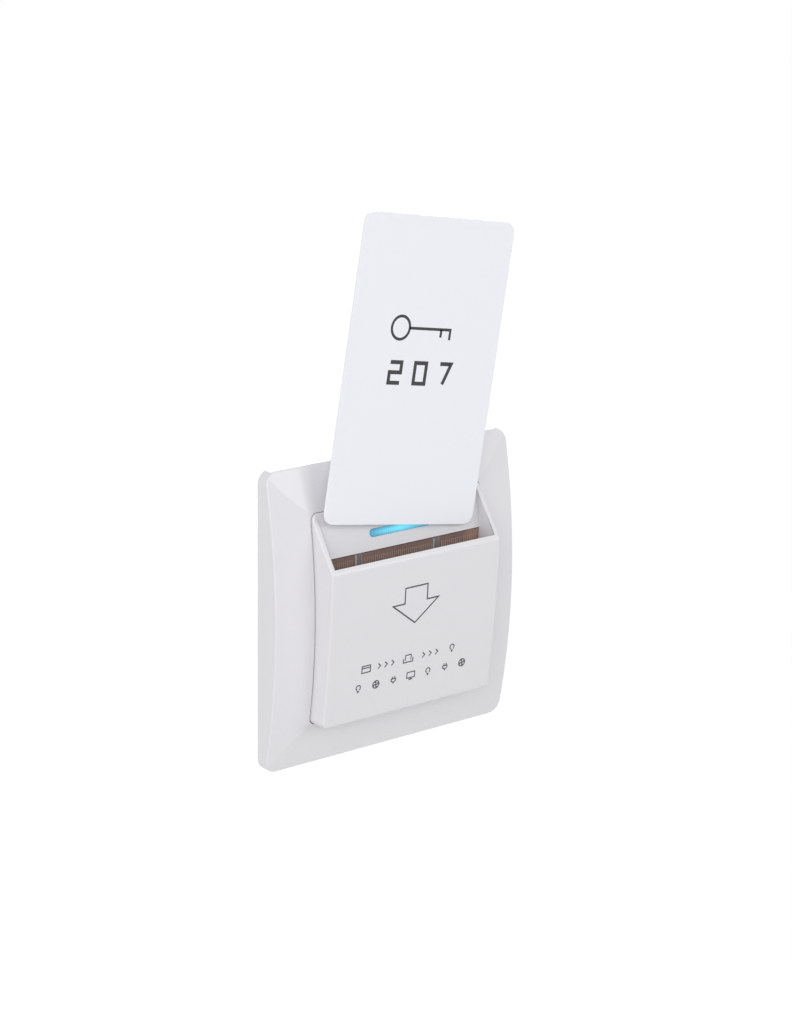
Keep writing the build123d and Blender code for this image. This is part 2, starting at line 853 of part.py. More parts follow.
with BuildPart() as link_pins:
    with BuildSketch(front_plane(reader_board_depth + link_pin_front)):
        with Locations((0, link_height)):
            with GridLocations(link_pin_pitch, 0, link_pin_count, 1):
                Rectangle(link_pin_size, link_pin_size)
    extrude(amount=-reader_board_depth - link_pin_front - power_board_back - link_pin_back)

link_pins.part.label = "link_pins"
export_step(link_pins.part, "parts/link_pins.step")

# Terminals: rising cages on screws; sizes first, as the board needs the leg slots
terminal_front = power_board_back
terminal_skin = 1.6
terminal_rear = terminal_bay_rear - terminal_rear_step
wire_hole_radius = 1.8
wire_gap = 3.2
cage_skin = 0.9
cage_nut = 1.5
cage_width = 6.4
cage_side = 0.8
cage_length = 6.4
cage_rear_play = 0.6
cage_travel = 3.0
cage_floor_rear = 7.1
cage_cell_play = 0.25
bar_width = 4.4
bar_thickness = 1.0
bar_front_rear = cage_floor_rear + wire_gap + slip_clearance
bar_back_rear = bar_front_rear + bar_thickness
screw_tip_gap = 0.1
clamp_screw_radius = 1.5
clamp_head_radius = 2.6
clamp_head_height = 2.0
clamp_head_slot = 0.7
clamp_head_slot_depth = 1.0
neck_thickness = 1.2
cage_cell_bottom = terminal_low + terminal_skin
cage_bottom = cage_cell_bottom + cage_cell_play
cage_top = cage_bottom + cage_length
cage_middle = (cage_bottom + cage_top) / 2
cage_front_rear = cage_floor_rear - cage_skin
cage_nut_rear = bar_back_rear + cage_rear_play
cage_back_rear = cage_nut_rear + cage_nut
cell_front_rear = cage_front_rear - cage_cell_play
cell_back_rear = cage_back_rear + cage_travel + cage_cell_play
neck_back_rear = cell_back_rear + neck_thickness
leg_front = cage_top + cage_cell_play
leg_back = leg_front + bar_thickness
terminal_places = [
    (index - (terminal_count - 1) / 2) * terminal_pitch for index in range(terminal_count)
]

# Power board: lies on the housing's bosses, pressed there by the carrier's spacers
power_board_width = housing_width - 2 * housing_wall - 2 * slip_clearance
power_board_height = housing_height - 2 * housing_wall - 2 * slip_clearance

with BuildPart() as power_board:
    with BuildSketch(front_plane(-power_board_rear)):
        Rectangle(power_board_width, power_board_height)
        with Locations(*assembly_places):
            Circle(assembly_screw_radius + board_hole_play, mode=Mode.SUBTRACT)
        with Locations((0, link_height)):
            with GridLocations(link_pin_pitch, 0, link_pin_count, 1):
                Rectangle(link_hole_size, link_hole_size, mode=Mode.SUBTRACT)
    extrude(amount=-board_thickness)

power_board.part.label = "power_board"
export_step(power_board.part, "parts/power_board.step")

# Relay: sealed box that switches the room's supply
relay_width = 10.1
relay_length = 28.0
relay_height = 12.3
relay_across = -14.5
relay_middle = (terminal_top + assembly_screw_z - boss_radius) / 2
relay_place = (relay_across, relay_middle)
relay_round = 0.6

with BuildPart() as relay:
    with BuildSketch(front_plane(-power_board_back)):
        with Locations(relay_place):
            Rectangle(relay_width, relay_length)
    extrude(amount=-relay_height)
    chamfer(relay.edges().filter_by(Axis.Y), relay_round)
    chamfer(relay.edges().group_by(Axis.Y)[-1], relay_round / 2)

relay.part.label = "relay"
export_step(relay.part, "parts/relay.step")

# Film capacitor: dropper for the reader's own supply
film_capacitor_width = 6.0
film_capacitor_length = 17.5
film_capacitor_height = 11.0
film_capacitor_place = (-4.2, 6.0)

with BuildPart() as film_capacitor:
    with BuildSketch(front_plane(-power_board_back)):
        with Locations(film_capacitor_place):
            Rectangle(film_capacitor_width, film_capacitor_length)
    extrude(amount=-film_capacitor_height)
    chamfer(film_capacitor.edges().filter_by(Axis.Y), soft_edge)
    chamfer(film_capacitor.edges().group_by(Axis.Y)[-1], soft_edge)

film_capacitor.part.label = "film_capacitor"
export_step(film_capacitor.part, "parts/film_capacitor.step")

# Smoothing capacitors: two rolled cans, crimped above the board
can_radius = 4.0
can_height = 11.5
can_crimp_height = 2.2
can_crimp_depth = 0.35
can_crimp_width = 0.5
can_places = ((4.8, 12.0), (4.8, 1.5))

with BuildPart() as smoothing_capacitors:
    for place_x, place_z in can_places:
        can_plane = Plane(origin=(place_x, power_board_back, place_z), x_dir=(1, 0, 0), z_dir=(0, 0, 1))
        with BuildSketch(can_plane):
            with BuildLine():
                Polyline(
                    (0, 0),
                    (can_radius, 0),
                    (can_radius, can_crimp_height - can_crimp_width),
                    (can_radius - can_crimp_depth, can_crimp_height),
                    (can_radius, can_crimp_height + can_crimp_width),
                    (can_radius, can_height),
                    (0, can_height),
                    (0, 0),
                )
            make_face()
        revolve(axis=Axis((place_x, power_board_back, place_z), (0, 1, 0)))

smoothing_capacitors.part.label = "smoothing_capacitors"
export_step(smoothing_capacitors.part, "parts/smoothing_capacitors.step")

# Surge varistor: disc on two legs across the supply
varistor_radius = 4.2
varistor_thickness = 3.6
varistor_lift = 1.0
varistor_leg_radius = 0.35
varistor_leg_spread = 2.5
varistor_place = (15.5, 14.0)
varistor_centre = power_board_back + varistor_lift + varistor_radius

with BuildPart() as varistor:
    varistor_plane = Plane(
        origin=(varistor_place[0], varistor_centre, varistor_place[1] - varistor_thickness / 2),
        x_dir=(1, 0, 0),
        z_dir=(0, 0, 1),
    )
    with BuildSketch(varistor_plane):
        Circle(varistor_radius)
    extrude(amount=varistor_thickness)
    with BuildSketch(front_plane(-power_board_back)):
        with Locations(varistor_place):
            with GridLocations(2 * varistor_leg_spread, 0, 2, 1):
                Circle(varistor_leg_radius)
    extrude(amount=-varistor_lift - varistor_radius)

varistor.part.label = "varistor"
export_step(varistor.part, "parts/varistor.step")

# Fuse: round sealed can beside the relay
fuse_radius = 4.2
fuse_height = 7.6
fuse_place = (15.5, 2.0)

with BuildPart() as fuse:
    with BuildSketch(front_plane(-power_board_back)):
        with Locations(fuse_place):
            Circle(fuse_radius)
    extrude(amount=-fuse_height)

fuse.part.label = "fuse"
export_step(fuse.part, "parts/fuse.step")

# Rectifier and regulator: two small blocks on the power board
rectifier_width = 8.4
rectifier_length = 6.4
rectifier_height = 3.0
rectifier_across = 4.0
rectifier_above_terminals = 4.0
rectifier_place = (rectifier_across, terminal_top + rectifier_above_terminals)
regulator_width = 6.5
regulator_length = 6.1
regulator_height = 2.3
regulator_tab = 1.5
regulator_tab_thickness = 0.5
regulator_across = 15.5
regulator_above_terminals = 8.0
regulator_place = (regulator_across, terminal_top + regulator_above_terminals)

with BuildPart() as rectifier:
    with BuildSketch(front_plane(-power_board_back)):
        with Locations(rectifier_place):
            Rectangle(rectifier_width, rectifier_length)
    extrude(amount=-rectifier_height)
    chamfer(rectifier.edges().group_by(Axis.Y)[-1], soft_edge)

rectifier.part.label = "rectifier"
export_step(rectifier.part, "parts/rectifier.step")

with BuildPart() as regulator:
    with BuildSketch(front_plane(-power_board_back)):
        with Locations(regulator_place):
            Rectangle(regulator_width, regulator_length)
    extrude(amount=-regulator_height)
    chamfer(regulator.edges().group_by(Axis.Y)[-1], soft_edge)
    with BuildSketch(front_plane(-power_board_back)):
        with Locations(
            (regulator_place[0], regulator_place[1] + (regulator_length + regulator_tab) / 2)
        ):
            Rectangle(regulator_width - 2 * soft_edge, regulator_tab)
    extrude(amount=-regulator_tab_thickness)

regulator.part.label = "regulator"
export_step(regulator.part, "parts/regulator.step")

# Terminal block: four cells side by side, screws to the rear and wire mouths below
barrier_width = 1.0
barrier_height = 0.5
head_hole_side = 2 * (clamp_head_radius + slip_clearance)

with BuildPart() as terminal_block:
    block_middle = (terminal_top + terminal_low) / 2
    block_height = terminal_top - terminal_low
    with BuildSketch(front_plane(-terminal_front)):
        with Locations((0, block_middle)):
            Rectangle(2 * bay_open_half_width, block_height)
    extrude(amount=terminal_front - terminal_rear)
    with BuildSketch(front_plane(-terminal_rear)):
        with Locations((0, block_middle)):
            with GridLocations(terminal_pitch, 0, terminal_count + 1, 1):
                Rectangle(barrier_width, block_height)
    extrude(amount=-barrier_height)
    for place in terminal_places:
        cell_middle = (cage_cell_bottom + cage_top + cage_cell_play) / 2
        cell_height = cage_top + cage_cell_play - cage_cell_bottom
        with BuildSketch(front_plane(-cell_front_rear)):
            with Locations((place, cell_middle)):
                Rectangle(cage_width + 2 * cage_cell_play, cell_height)
        extrude(amount=cell_front_rear - cell_back_rear, mode=Mode.SUBTRACT)
        with BuildSketch(front_plane(-terminal_front + overrun)):
            with Locations((place, (leg_front + leg_back) / 2)):
                Rectangle(bar_width + 2 * fit_clearance, bar_thickness + 2 * fit_clearance)
        extrude(
            amount=terminal_front - overrun - bar_back_rear - fit_clearance,
            mode=Mode.SUBTRACT,
        )
        with BuildSketch(front_plane(-cell_back_rear + overrun)):
            with Locations((place, cage_middle)):
                Circle(clamp_screw_radius + running_clearance)
        extrude(amount=-neck_thickness - 2 * overrun, mode=Mode.SUBTRACT)
        with BuildSketch(front_plane(-neck_back_rear)):
            with Locations((place, cage_middle)):
                Rectangle(head_hole_side, head_hole_side)
        extrude(amount=neck_back_rear - terminal_bay_rear, mode=Mode.SUBTRACT)
        with BuildSketch(Plane.XY.offset(terminal_low - overrun)):
            with Locations((place, cage_floor_rear + wire_gap / 2)):
                Circle(wire_hole_radius)
        extrude(amount=terminal_skin + 2 * overrun, mode=Mode.SUBTRACT)

terminal_block.part.label = "terminal_block"
export_step(terminal_block.part, "parts/terminal_block.step")

# Contact bars: bent strips that carry each wire's current down to the board
with BuildPart() as contact_bars:
    for place in terminal_places:
        with BuildSketch(Plane.YZ.offset(place - bar_width / 2)):
            with BuildLine():
                Polyline(
                    (bar_front_rear, cage_bottom),
                    (bar_back_rear, cage_bottom),
                    (bar_back_rear, leg_back),
                    (power_board_back, leg_back),
                    (power_board_back, leg_front),
                    (bar_front_rear, leg_front),
                    (bar_front_rear, cage_bottom),
                )
            make_face()
        extrude(amount=bar_width)

contact_bars.part.label = "contact_bars"
export_step(contact_bars.part, "parts/contact_bars.step")

# Terminal cages and screws: each screw turns in place and draws its own cage to the rear
for number, place in enumerate(terminal_places, start=1):
    with BuildPart() as terminal_cage:
        with BuildSketch(Plane.XY.offset(cage_bottom)):
            cage_depth = cage_back_rear - cage_front_rear
            with Locations((place, cage_front_rear + cage_depth / 2)):
                Rectangle(cage_width, cage_depth)
            opening_depth = cage_nut_rear - cage_floor_rear
            with Locations((place, cage_floor_rear + opening_depth / 2)):
                Rectangle(cage_width - 2 * cage_side, opening_depth, mode=Mode.SUBTRACT)
        extrude(amount=cage_length)
        with BuildSketch(front_plane(-cage_nut_rear + overrun)):
            with Locations((place, cage_middle)):
                Circle(clamp_screw_radius + running_clearance)
        extrude(amount=-cage_nut - 2 * overrun, mode=Mode.SUBTRACT)

    terminal_cage.part.label = f"terminal_cage_{number}"
    export_step(terminal_cage.part, f"parts/terminal_cage_{number}.step")

    with BuildPart() as terminal_screw:
        with BuildSketch(front_plane(-neck_back_rear - fit_clearance)):
            with Locations((place, cage_middle)):
                Circle(clamp_head_radius)
        extrude(amount=-clamp_head_height)
        with BuildSketch(front_plane(-bar_back_rear - screw_tip_gap)):
            with Locations((place, cage_middle)):
                Circle(clamp_screw_radius)
        extrude(amount=bar_back_rear + screw_tip_gap - neck_back_rear - clamp_head_height / 2)
        with BuildSketch(front_plane(-neck_back_rear - clamp_head_height - fit_clearance)):
            with Locations((place, cage_middle)):
                Rectangle(2 * clamp_head_radius, clamp_head_slot)
        extrude(amount=clamp_head_slot_depth, mode=Mode.SUBTRACT)

    terminal_screw.part.label = f"terminal_screw_{number}"
    export_step(terminal_screw.part, f"parts/terminal_screw_{number}.step")

# Guest card: two laminated sheets that close round a radio coil and its chip
sheet_thickness = card_thickness / 2
coil_side = 27.0
coil_turns = 5
coil_pitch = 0.8
coil_track = 0.4
coil_thickness = 0.2
chip_side = 2.4
recess_play = 0.6
recess_skin_play = 0.05
recess_depth = coil_thickness / 2 + recess_skin_play
recess_radius = (coil_side + coil_track) / sqrt(2) + recess_play
chip_reach = coil_side / 2 - coil_turns * coil_pitch - chip_side / 2
rest_turn = radians(card_tilt)
card_middle_x = card_rest_shift + card_height / 2 * sin(rest_turn)
card_middle_z = card_rest_height + card_height / 2 * cos(rest_turn)
card_plane = Plane(
    origin=(card_middle_x, -card_plane_depth, card_middle_z),
    x_dir=(cos(rest_turn), 0, -sin(rest_turn)),
    z_dir=(0, -1, 0),
)

with BuildPart() as card_front_sheet:
    with BuildSketch(card_plane):
        RectangleRounded(card_width, card_height, card_corner)
    extrude(amount=sheet_thickness)
    with BuildSketch(card_plane.offset(-overrun)):
        Circle(recess_radius)
    extrude(amount=overrun + recess_depth, mode=Mode.SUBTRACT)

card_front_sheet.part.label = "card_front_sheet"
export_step(card_front_sheet.part, "parts/card_front_sheet.step")

with BuildPart() as card_back_sheet:
    with BuildSketch(card_plane):
        RectangleRounded(card_width, card_height, card_corner)
    extrude(amount=-sheet_thickness)
    with BuildSketch(card_plane.offset(overrun)):
        Circle(recess_radius)
    extrude(amount=-overrun - recess_depth, mode=Mode.SUBTRACT)

card_back_sheet.part.label = "card_back_sheet"
export_step(card_back_sheet.part, "parts/card_back_sheet.step")

with BuildPart() as card_coil:
    with BuildSketch(card_plane.offset(-coil_thickness / 2)):
        with BuildLine():
            Polyline(*square_spiral(coil_side, coil_side, coil_turns, coil_pitch))
        trace(line_width=coil_track)
    extrude(amount=coil_thickness)

card_coil.part.label = "card_coil"
export_step(card_coil.part, "parts/card_coil.step")

with BuildPart() as card_chip:
    with BuildSketch(card_plane.offset(-coil_thickness / 2)):
        with Locations((chip_reach, 0)):
            Rectangle(chip_side, chip_side)
    extrude(amount=coil_thickness)

card_chip.part.label = "card_chip"
export_step(card_chip.part, "parts/card_chip.step")
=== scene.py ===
import json
import math

import bmesh
import bpy
from mathutils import Matrix, Vector


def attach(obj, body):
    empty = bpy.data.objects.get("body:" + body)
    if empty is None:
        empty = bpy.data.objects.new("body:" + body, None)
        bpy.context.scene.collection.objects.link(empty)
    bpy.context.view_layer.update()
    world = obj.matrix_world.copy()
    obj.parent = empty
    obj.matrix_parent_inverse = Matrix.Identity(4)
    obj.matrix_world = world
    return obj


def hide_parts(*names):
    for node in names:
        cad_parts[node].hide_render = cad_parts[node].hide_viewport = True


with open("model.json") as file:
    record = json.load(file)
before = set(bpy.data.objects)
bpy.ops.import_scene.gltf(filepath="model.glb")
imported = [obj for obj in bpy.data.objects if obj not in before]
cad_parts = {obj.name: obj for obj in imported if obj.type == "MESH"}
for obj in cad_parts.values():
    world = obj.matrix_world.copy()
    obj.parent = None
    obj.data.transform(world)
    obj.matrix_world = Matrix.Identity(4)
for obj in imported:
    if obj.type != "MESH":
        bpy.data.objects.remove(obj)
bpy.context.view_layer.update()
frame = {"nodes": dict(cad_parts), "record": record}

# Camera: it stands left of the switch and a little above it.
# The lens is long, so the square frame narrows only slightly with distance.


def new_object(name, data):
    """An object in the scene that shows the data."""
    made = bpy.data.objects.new(name, data)
    bpy.context.scene.collection.objects.link(made)
    return made


view_turn = math.radians(-39.896)
view_rise = math.radians(15.672)
view_roll = math.radians(0.762)
view_distance = 0.81303
view_aim = Vector((0.005606, 0.0, 0.023291))
camera_back = Vector(
    (
        math.sin(view_turn) * math.cos(view_rise),
        -math.cos(view_turn) * math.cos(view_rise),
        math.sin(view_rise),
    )
)
level_right = (-camera_back).cross(Vector((0, 0, 1))).normalized()
level_up = level_right.cross(-camera_back)
camera_right = math.cos(view_roll) * level_right + math.sin(view_roll) * level_up
camera_up = math.cos(view_roll) * level_up - math.sin(view_roll) * level_right
camera_data = bpy.data.cameras.new("camera")
camera_data.sensor_width = 36.0
camera_data.lens = 101.79
camera_data.clip_start = 0.01
camera = new_object("camera", camera_data)
camera_place = view_aim + camera_back * view_distance
camera_turn = Matrix((camera_right, camera_up, camera_back)).transposed()
camera.matrix_world = Matrix.Translation(camera_place) @ camera_turn.to_4x4()
bpy.context.scene.camera = camera
bpy.context.scene.view_settings.view_transform = "Standard"

# Studio: a plain white room with four soft lamps: a strong one in front at the left,
# one behind the switch, and weak ones beside it at the left and in front at the right.


def feed(tree, node, values):
    """Feeds a node's inputs by title: another node's output is linked, a plain value is set."""
    for title, value in values.items():
        if isinstance(value, bpy.types.NodeSocket):
            tree.links.new(value, node.inputs[title])
        else:
            node.inputs[title].default_value = value


def add(tree, kind, values):
    """A new node in a tree, with its inputs fed."""
    node = tree.nodes.new(kind)
    feed(tree, node, values)
    return node


def calculate(tree, operation, *numbers):
    """The result of a sum on one or two numbers."""
    node = tree.nodes.new("ShaderNodeMath")
    node.operation = operation
    feed(tree, node, dict(enumerate(numbers)))
    return node.outputs[0]


def sees_white(tree):
    """One for a ray that looks straight, off a gloss or through clear plastic, else zero."""
    path = tree.nodes.new("ShaderNodeLightPath")
    straight, mirrored = path.outputs["Is Camera Ray"], path.outputs["Is Glossy Ray"]
    seen_or_mirrored = calculate(tree, "MAXIMUM", straight, mirrored)
    return calculate(tree, "MAXIMUM", seen_or_mirrored, path.outputs["Is Transmission Ray"])


def soft_lamp(name, place, aim, width, height, power):
    """A rectangular soft box at a place, turned to face a point."""
    data = bpy.data.lights.new(name, "AREA")
    data.shape = "RECTANGLE"
    data.size = width
    data.size_y = height
    data.energy = power
    lamp = new_object(name, data)
    lamp.location = place
    lamp.rotation_euler = (Vector(aim) - Vector(place)).to_track_quat("-Z", "Y").to_euler()


room = bpy.data.worlds.new("room")
bpy.context.scene.world = room
room.use_nodes = True
room_tree = room.node_tree
room_tree.nodes.clear()
room_soft = add(
    room_tree, "ShaderNodeBackground", {"Color": (0.985, 0.985, 1.0, 1), "Strength": 0.585}
)
room_white = add(room_tree, "ShaderNodeBackground", {"Color": (1, 1, 1, 1), "Strength": 1.0})
room_choice = add(
    room_tree,
    "ShaderNodeMixShader",
    {"Fac": sees_white(room_tree), 1: room_soft.outputs[0], 2: room_white.outputs[0]},
)
add(room_tree, "ShaderNodeOutputWorld", {"Surface": room_choice.outputs[0]})

soft_lamp("key_lamp", (-0.85, -0.80, 0.50), (0, 0, 0.01), width=0.9, height=0.9, power=5.1)
soft_lamp("back_lamp", (0.7, 1.1, 0.6), (0, 0, 0), width=0.8, height=0.8, power=5.0)
soft_lamp("left_lamp", (-1.0, -0.05, 0.10), (0, 0, 0), width=0.5, height=0.7, power=1.1)
soft_lamp("front_lamp", (0.45, -1.0, 0.45), (0, 0, 0), width=0.7, height=0.5, power=2.5)

# Floor: a wide plain sheet of matt white paint, far below the switch.
# It keeps a faint shadow, and glows where it is looked at, so that it meets the white room.
floor_reach = 20.0
floor_level = -0.55
floor_tone = 0.76
floor_glow_strength = 1.06
floor_glow_share = 0.92
floor_mesh = bpy.data.meshes.new("studio_floor")
floor_mesh.from_pydata(
    [
        (x * floor_reach, y * floor_reach, floor_level)
        for x, y in ((-1, -1), (1, -1), (1, 1), (-1, 1))
    ],
    [],
    [(0, 1, 2, 3)],
)
floor = new_object("studio_floor", floor_mesh)
floor_paint = bpy.data.materials.new("white_floor")
floor_paint.use_nodes = True
floor_tree = floor_paint.node_tree
floor_tree.nodes.clear()
floor_matt = add(
    floor_tree, "ShaderNodeBsdfDiffuse", {"Color": (floor_tone, floor_tone, floor_tone, 1)}
)
floor_glow = add(floor_tree, "ShaderNodeEmission", {"Strength": floor_glow_strength})
floor_seen = calculate(floor_tree, "MULTIPLY", sees_white(floor_tree), floor_glow_share)
floor_mix = add(
    floor_tree,
    "ShaderNodeMixShader",
    {"Fac": floor_seen, 1: floor_matt.outputs[0], 2: floor_glow.outputs[0]},
)
add(floor_tree, "ShaderNodeOutputMaterial", {"Surface": floor_mix.outputs[0]})
floor_mesh.materials.append(floor_paint)

# Face frame: the crowned square surround, injection moulded in glossy white polycarbonate.
# It is polished by its mould, its rim is softly rounded, and four claws hold it on the carrier.
mm = 0.001


def object_place(tree):
    """The place on the piece, in metres from the CAD's origin."""
    return tree.nodes.new("ShaderNodeTexCoord").outputs["Object"]


def noise(tree, scale, detail):
    """Soft noise over the piece, mostly between noise_low and noise_high."""
    texture = add(
        tree,
        "ShaderNodeTexNoise",
        {"Vector": object_place(tree), "Scale": scale, "Detail": detail},
    )
    return texture.outputs["Fac"]


def spread(tree, value, low, high, at_low=0.0, at_high=1.0):
    """A number that runs from at_low to at_high while the value runs from low to high."""
    node = add(
        tree,
        "ShaderNodeMapRange",
        {"Value": value, "From Min": low, "From Max": high, "To Min": at_low, "To Max": at_high},
    )
    return node.outputs["Result"]


def blend(tree, share, first, second, way="MIX"):
    """Two colours blended by a share."""
    node = tree.nodes.new("ShaderNodeMix")
    node.data_type = "RGBA"
    node.blend_type = way
    feed(tree, node, {"Factor": share, "A": first, "B": second})
    return node.outputs["Result"]


def bump(tree, height, strength, distance=0.1 * mm):
    """The way the surface leans where a height makes it uneven."""
    node = add(
        tree, "ShaderNodeBump", {"Height": height, "Strength": strength, "Distance": distance}
    )
    return node.outputs["Normal"]


def new_group(name, kind, takes, gives):
    """A node group with named inputs and outputs, each with its kind of socket."""
    group = bpy.data.node_groups.new(name, kind)
    for title, socket in takes.items():
        group.interface.new_socket(title, in_out="INPUT", socket_type=socket)
    for title, socket in gives.items():
        group.interface.new_socket(title, in_out="OUTPUT", socket_type=socket)
    return group


def new_material(name):
    """A material with its Principled shader, still plain."""
    material = bpy.data.materials.new(name)
    material.use_nodes = True
    return material


def shader_of(material):
    """The material's Principled shader."""
    return material.node_tree.nodes["Principled BSDF"]


def from_finish(name, finish, values, grain):
    """A material whose tone, gloss and grain come from a finish group with its own values."""
    material = new_material(name)
    tree = material.node_tree
    group = tree.nodes.new("ShaderNodeGroup")
    group.node_tree = finish
    feed(tree, group, values)
    surface = {
        "Base Color": group.outputs["Color"],
        "Roughness": group.outputs["Roughness"],
        "Normal": bump(tree, group.outputs["Height"], grain),
    }
    feed(tree, shader_of(material), surface)
    return material


colour_socket = "NodeSocketColor"
number_socket = "NodeSocketFloat"
noise_low, noise_high = 0.35, 0.65
cloud_scale = 60.0
mould_finish = new_group(
    "mould_finish",
    "ShaderNodeTree",
    {
        "Tone": colour_socket,
        "Fleck Tone": colour_socket,
        "Fleck Scale": number_socket,
        "Fleck Amount": number_socket,
        "Grain Scale": number_socket,
        "Smooth Roughness": number_socket,
        "Rough Roughness": number_socket,
    },
    {"Color": colour_socket, "Roughness": number_socket, "Height": number_socket},
)
mould_in = mould_finish.nodes.new("NodeGroupInput")
mould_flecks = noise(mould_finish, mould_in.outputs["Fleck Scale"], detail=3.0)
mould_fleck_share = calculate(
    mould_finish, "MULTIPLY", mould_flecks, mould_in.outputs["Fleck Amount"]
)
mould_tone = blend(
    mould_finish, mould_fleck_share, mould_in.outputs["Tone"], mould_in.outputs["Fleck Tone"]
)
mould_gloss = spread(
    mould_finish,
    noise(mould_finish, cloud_scale, detail=4.0),
    noise_low,
    noise_high,
    mould_in.outputs["Smooth Roughness"],
    mould_in.outputs["Rough Roughness"],
)
mould_grain = noise(mould_finish, mould_in.outputs["Grain Scale"], detail=2.0)
add(
    mould_finish,
    "NodeGroupOutput",
    {"Color": mould_tone, "Roughness": mould_gloss, "Height": mould_grain},
)


def moulded(
    name,
    tone,
    fleck,
    roughness,
    grain=0.02,
    grain_scale=9000.0,
    fleck_scale=900.0,
    fleck_amount=0.12,
):
    """A plastic, lacquer or ink with the mould finish: soft flecks, a cloudy gloss, fine grain."""
    values = {
        "Tone": (*tone, 1),
        "Fleck Tone": (*fleck, 1),
        "Fleck Scale": fleck_scale,
        "Fleck Amount": fleck_amount,
        "Grain Scale": grain_scale,
        "Smooth Roughness": roughness[0],
        "Rough Roughness": roughness[1],
    }
    return from_finish(name, mould_finish, values, grain)


white_plastic = moulded(
    "white_polycarbonate",
    tone=(0.800, 0.790, 0.812),
    fleck=(0.760, 0.750, 0.775),
    roughness=(0.13, 0.20),
    grain=0.012,
    grain_scale=4000.0,
)
shader_of(white_plastic).inputs["IOR"].default_value = 1.5

solid = frame["nodes"]
weld_gap = 0.003
flat_angle = math.radians(0.15)
sharp_angle = math.radians(25)
crease_angle = math.radians(28)


def merged_copy(node, name):
    """The node's shape with its triangles joined, flats made whole and curves shaded smooth."""
    shape = bmesh.new()
    shape.from_mesh(solid[node].data)
    bmesh.ops.remove_doubles(shape, verts=shape.verts, dist=weld_gap * mm)
    bmesh.ops.dissolve_limit(
        shape,
        angle_limit=flat_angle,
        use_dissolve_boundaries=False,
        verts=shape.verts,
        edges=shape.edges,
    )
    for edge in shape.edges:
        edge.smooth = len(edge.link_faces) == 2 and edge.calc_face_angle(0) < crease_angle
    for face in shape.faces:
        face.smooth = True
        face.material_index = 0
    mesh = bpy.data.meshes.new(name)
    shape.to_mesh(mesh)
    shape.free()
    return new_object(name, mesh)


def weigh_edges(piece, chosen):
    """Marks the edges to round: chosen gets an edge's ends and tells its share of the width."""
    shape = bmesh.new()
    shape.from_mesh(piece.data)
    weight = shape.edges.layers.float.new("bevel_weight_edge")
    for edge in shape.edges:
        if edge.is_convex and edge.calc_face_angle(0) > sharp_angle:
            start, end = edge.verts[0].co / mm, edge.verts[1].co / mm
            edge[weight] = float(chosen(start, end))
    shape.to_mesh(piece.data)
    shape.free()


def round_edges(piece, width, steps):
    """Rounds the marked edges and keeps the flats flat in the shading."""
    bevel = piece.modifiers.new("rounding", "BEVEL")
    bevel.limit_method = "WEIGHT"
    bevel.width = width * mm
    bevel.segments = steps
    bevel.use_clamp_overlap = False
    flat = piece.modifiers.new("flat_shading", "WEIGHTED_NORMAL")
    flat.keep_sharp = True
    flat.weight = 80


def freeze(piece):
    """Turns the piece with its modifiers into a plain mesh."""
    evaluated = piece.evaluated_get(bpy.context.evaluated_depsgraph_get())
    frozen = bpy.data.meshes.new_from_object(evaluated)
    piece.modifiers.clear()
    piece.data = frozen


def finished(piece, node, body, material=None):
    """Gives the piece its material, hides the node it stands for and rides it on its body."""
    if material:
        piece.data.materials.append(material)
    if piece.modifiers:
        freeze(piece)
    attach(piece, body)
    if node:
        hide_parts(node)


frame_half = 43.0
frame_corner = 3.8
frame_side_depth = 8.1
frame_end_depth = 3.3
frame_rim_rise = 1.2
frame_window_half = 30.4
frame_drop = frame_side_depth - frame_end_depth
frame_crown_radius = (frame_half**2 + frame_drop**2) / (2 * frame_drop)
frame_side_slope = frame_rim_rise / (frame_half - frame_window_half)
frame_window_drop = frame_crown_radius - math.sqrt(frame_crown_radius**2 - frame_window_half**2)
frame_bevel_top = frame_side_depth - frame_window_drop + frame_rim_rise
frame_bevel_slope = (frame_bevel_top - frame_end_depth) / (frame_half - frame_window_half)
rim_slack, rim_front = 0.02, 2.5
window_slack, window_front = 0.12, 5.0


def on_frame_rim(start, end):
    """True on the outer front edge of the frame."""
    for spot in (start, end):
        reach_x = max(abs(spot.x) - (frame_half - frame_corner), 0.0)
        reach_z = max(abs(spot.z) - (frame_half - frame_corner), 0.0)
        off_rim = abs(math.hypot(reach_x, reach_z) - frame_corner) > rim_slack
        if off_rim or spot.y > -rim_front:
            return False
    return True


def on_frame_window(start, end):
    """True on the front edge of the frame's square window."""
    for spot in (start, end):
        off_window = max(abs(spot.x), abs(spot.z)) > frame_window_half + window_slack
        if off_window or spot.y > -window_front:
            return False
    return True


def frame_edge_share(start, end):
    """The whole rounding on the frame's rim, and half of it at its window."""
    return 1.0 if on_frame_rim(start, end) else 0.5 * on_frame_window(start, end)


def frame_normal(spot):
    """The way the frame's front looks at a spot: its crowned sides, or its bevels at the ends."""
    level = math.sqrt(frame_crown_radius**2 - spot.z**2)
    crown = frame_side_depth - frame_crown_radius + level
    side = crown + frame_side_slope * (frame_half - abs(spot.x))
    bevel = frame_end_depth + frame_bevel_slope * (frame_half - abs(spot.z))
    if side < bevel or abs(spot.z) < frame_window_half:
        lean = math.copysign(frame_side_slope, spot.x)
        return Vector((lean, -1, spot.z / level)).normalized()
    return Vector((0, -1, math.copysign(frame_bevel_slope, spot.z))).normalized()


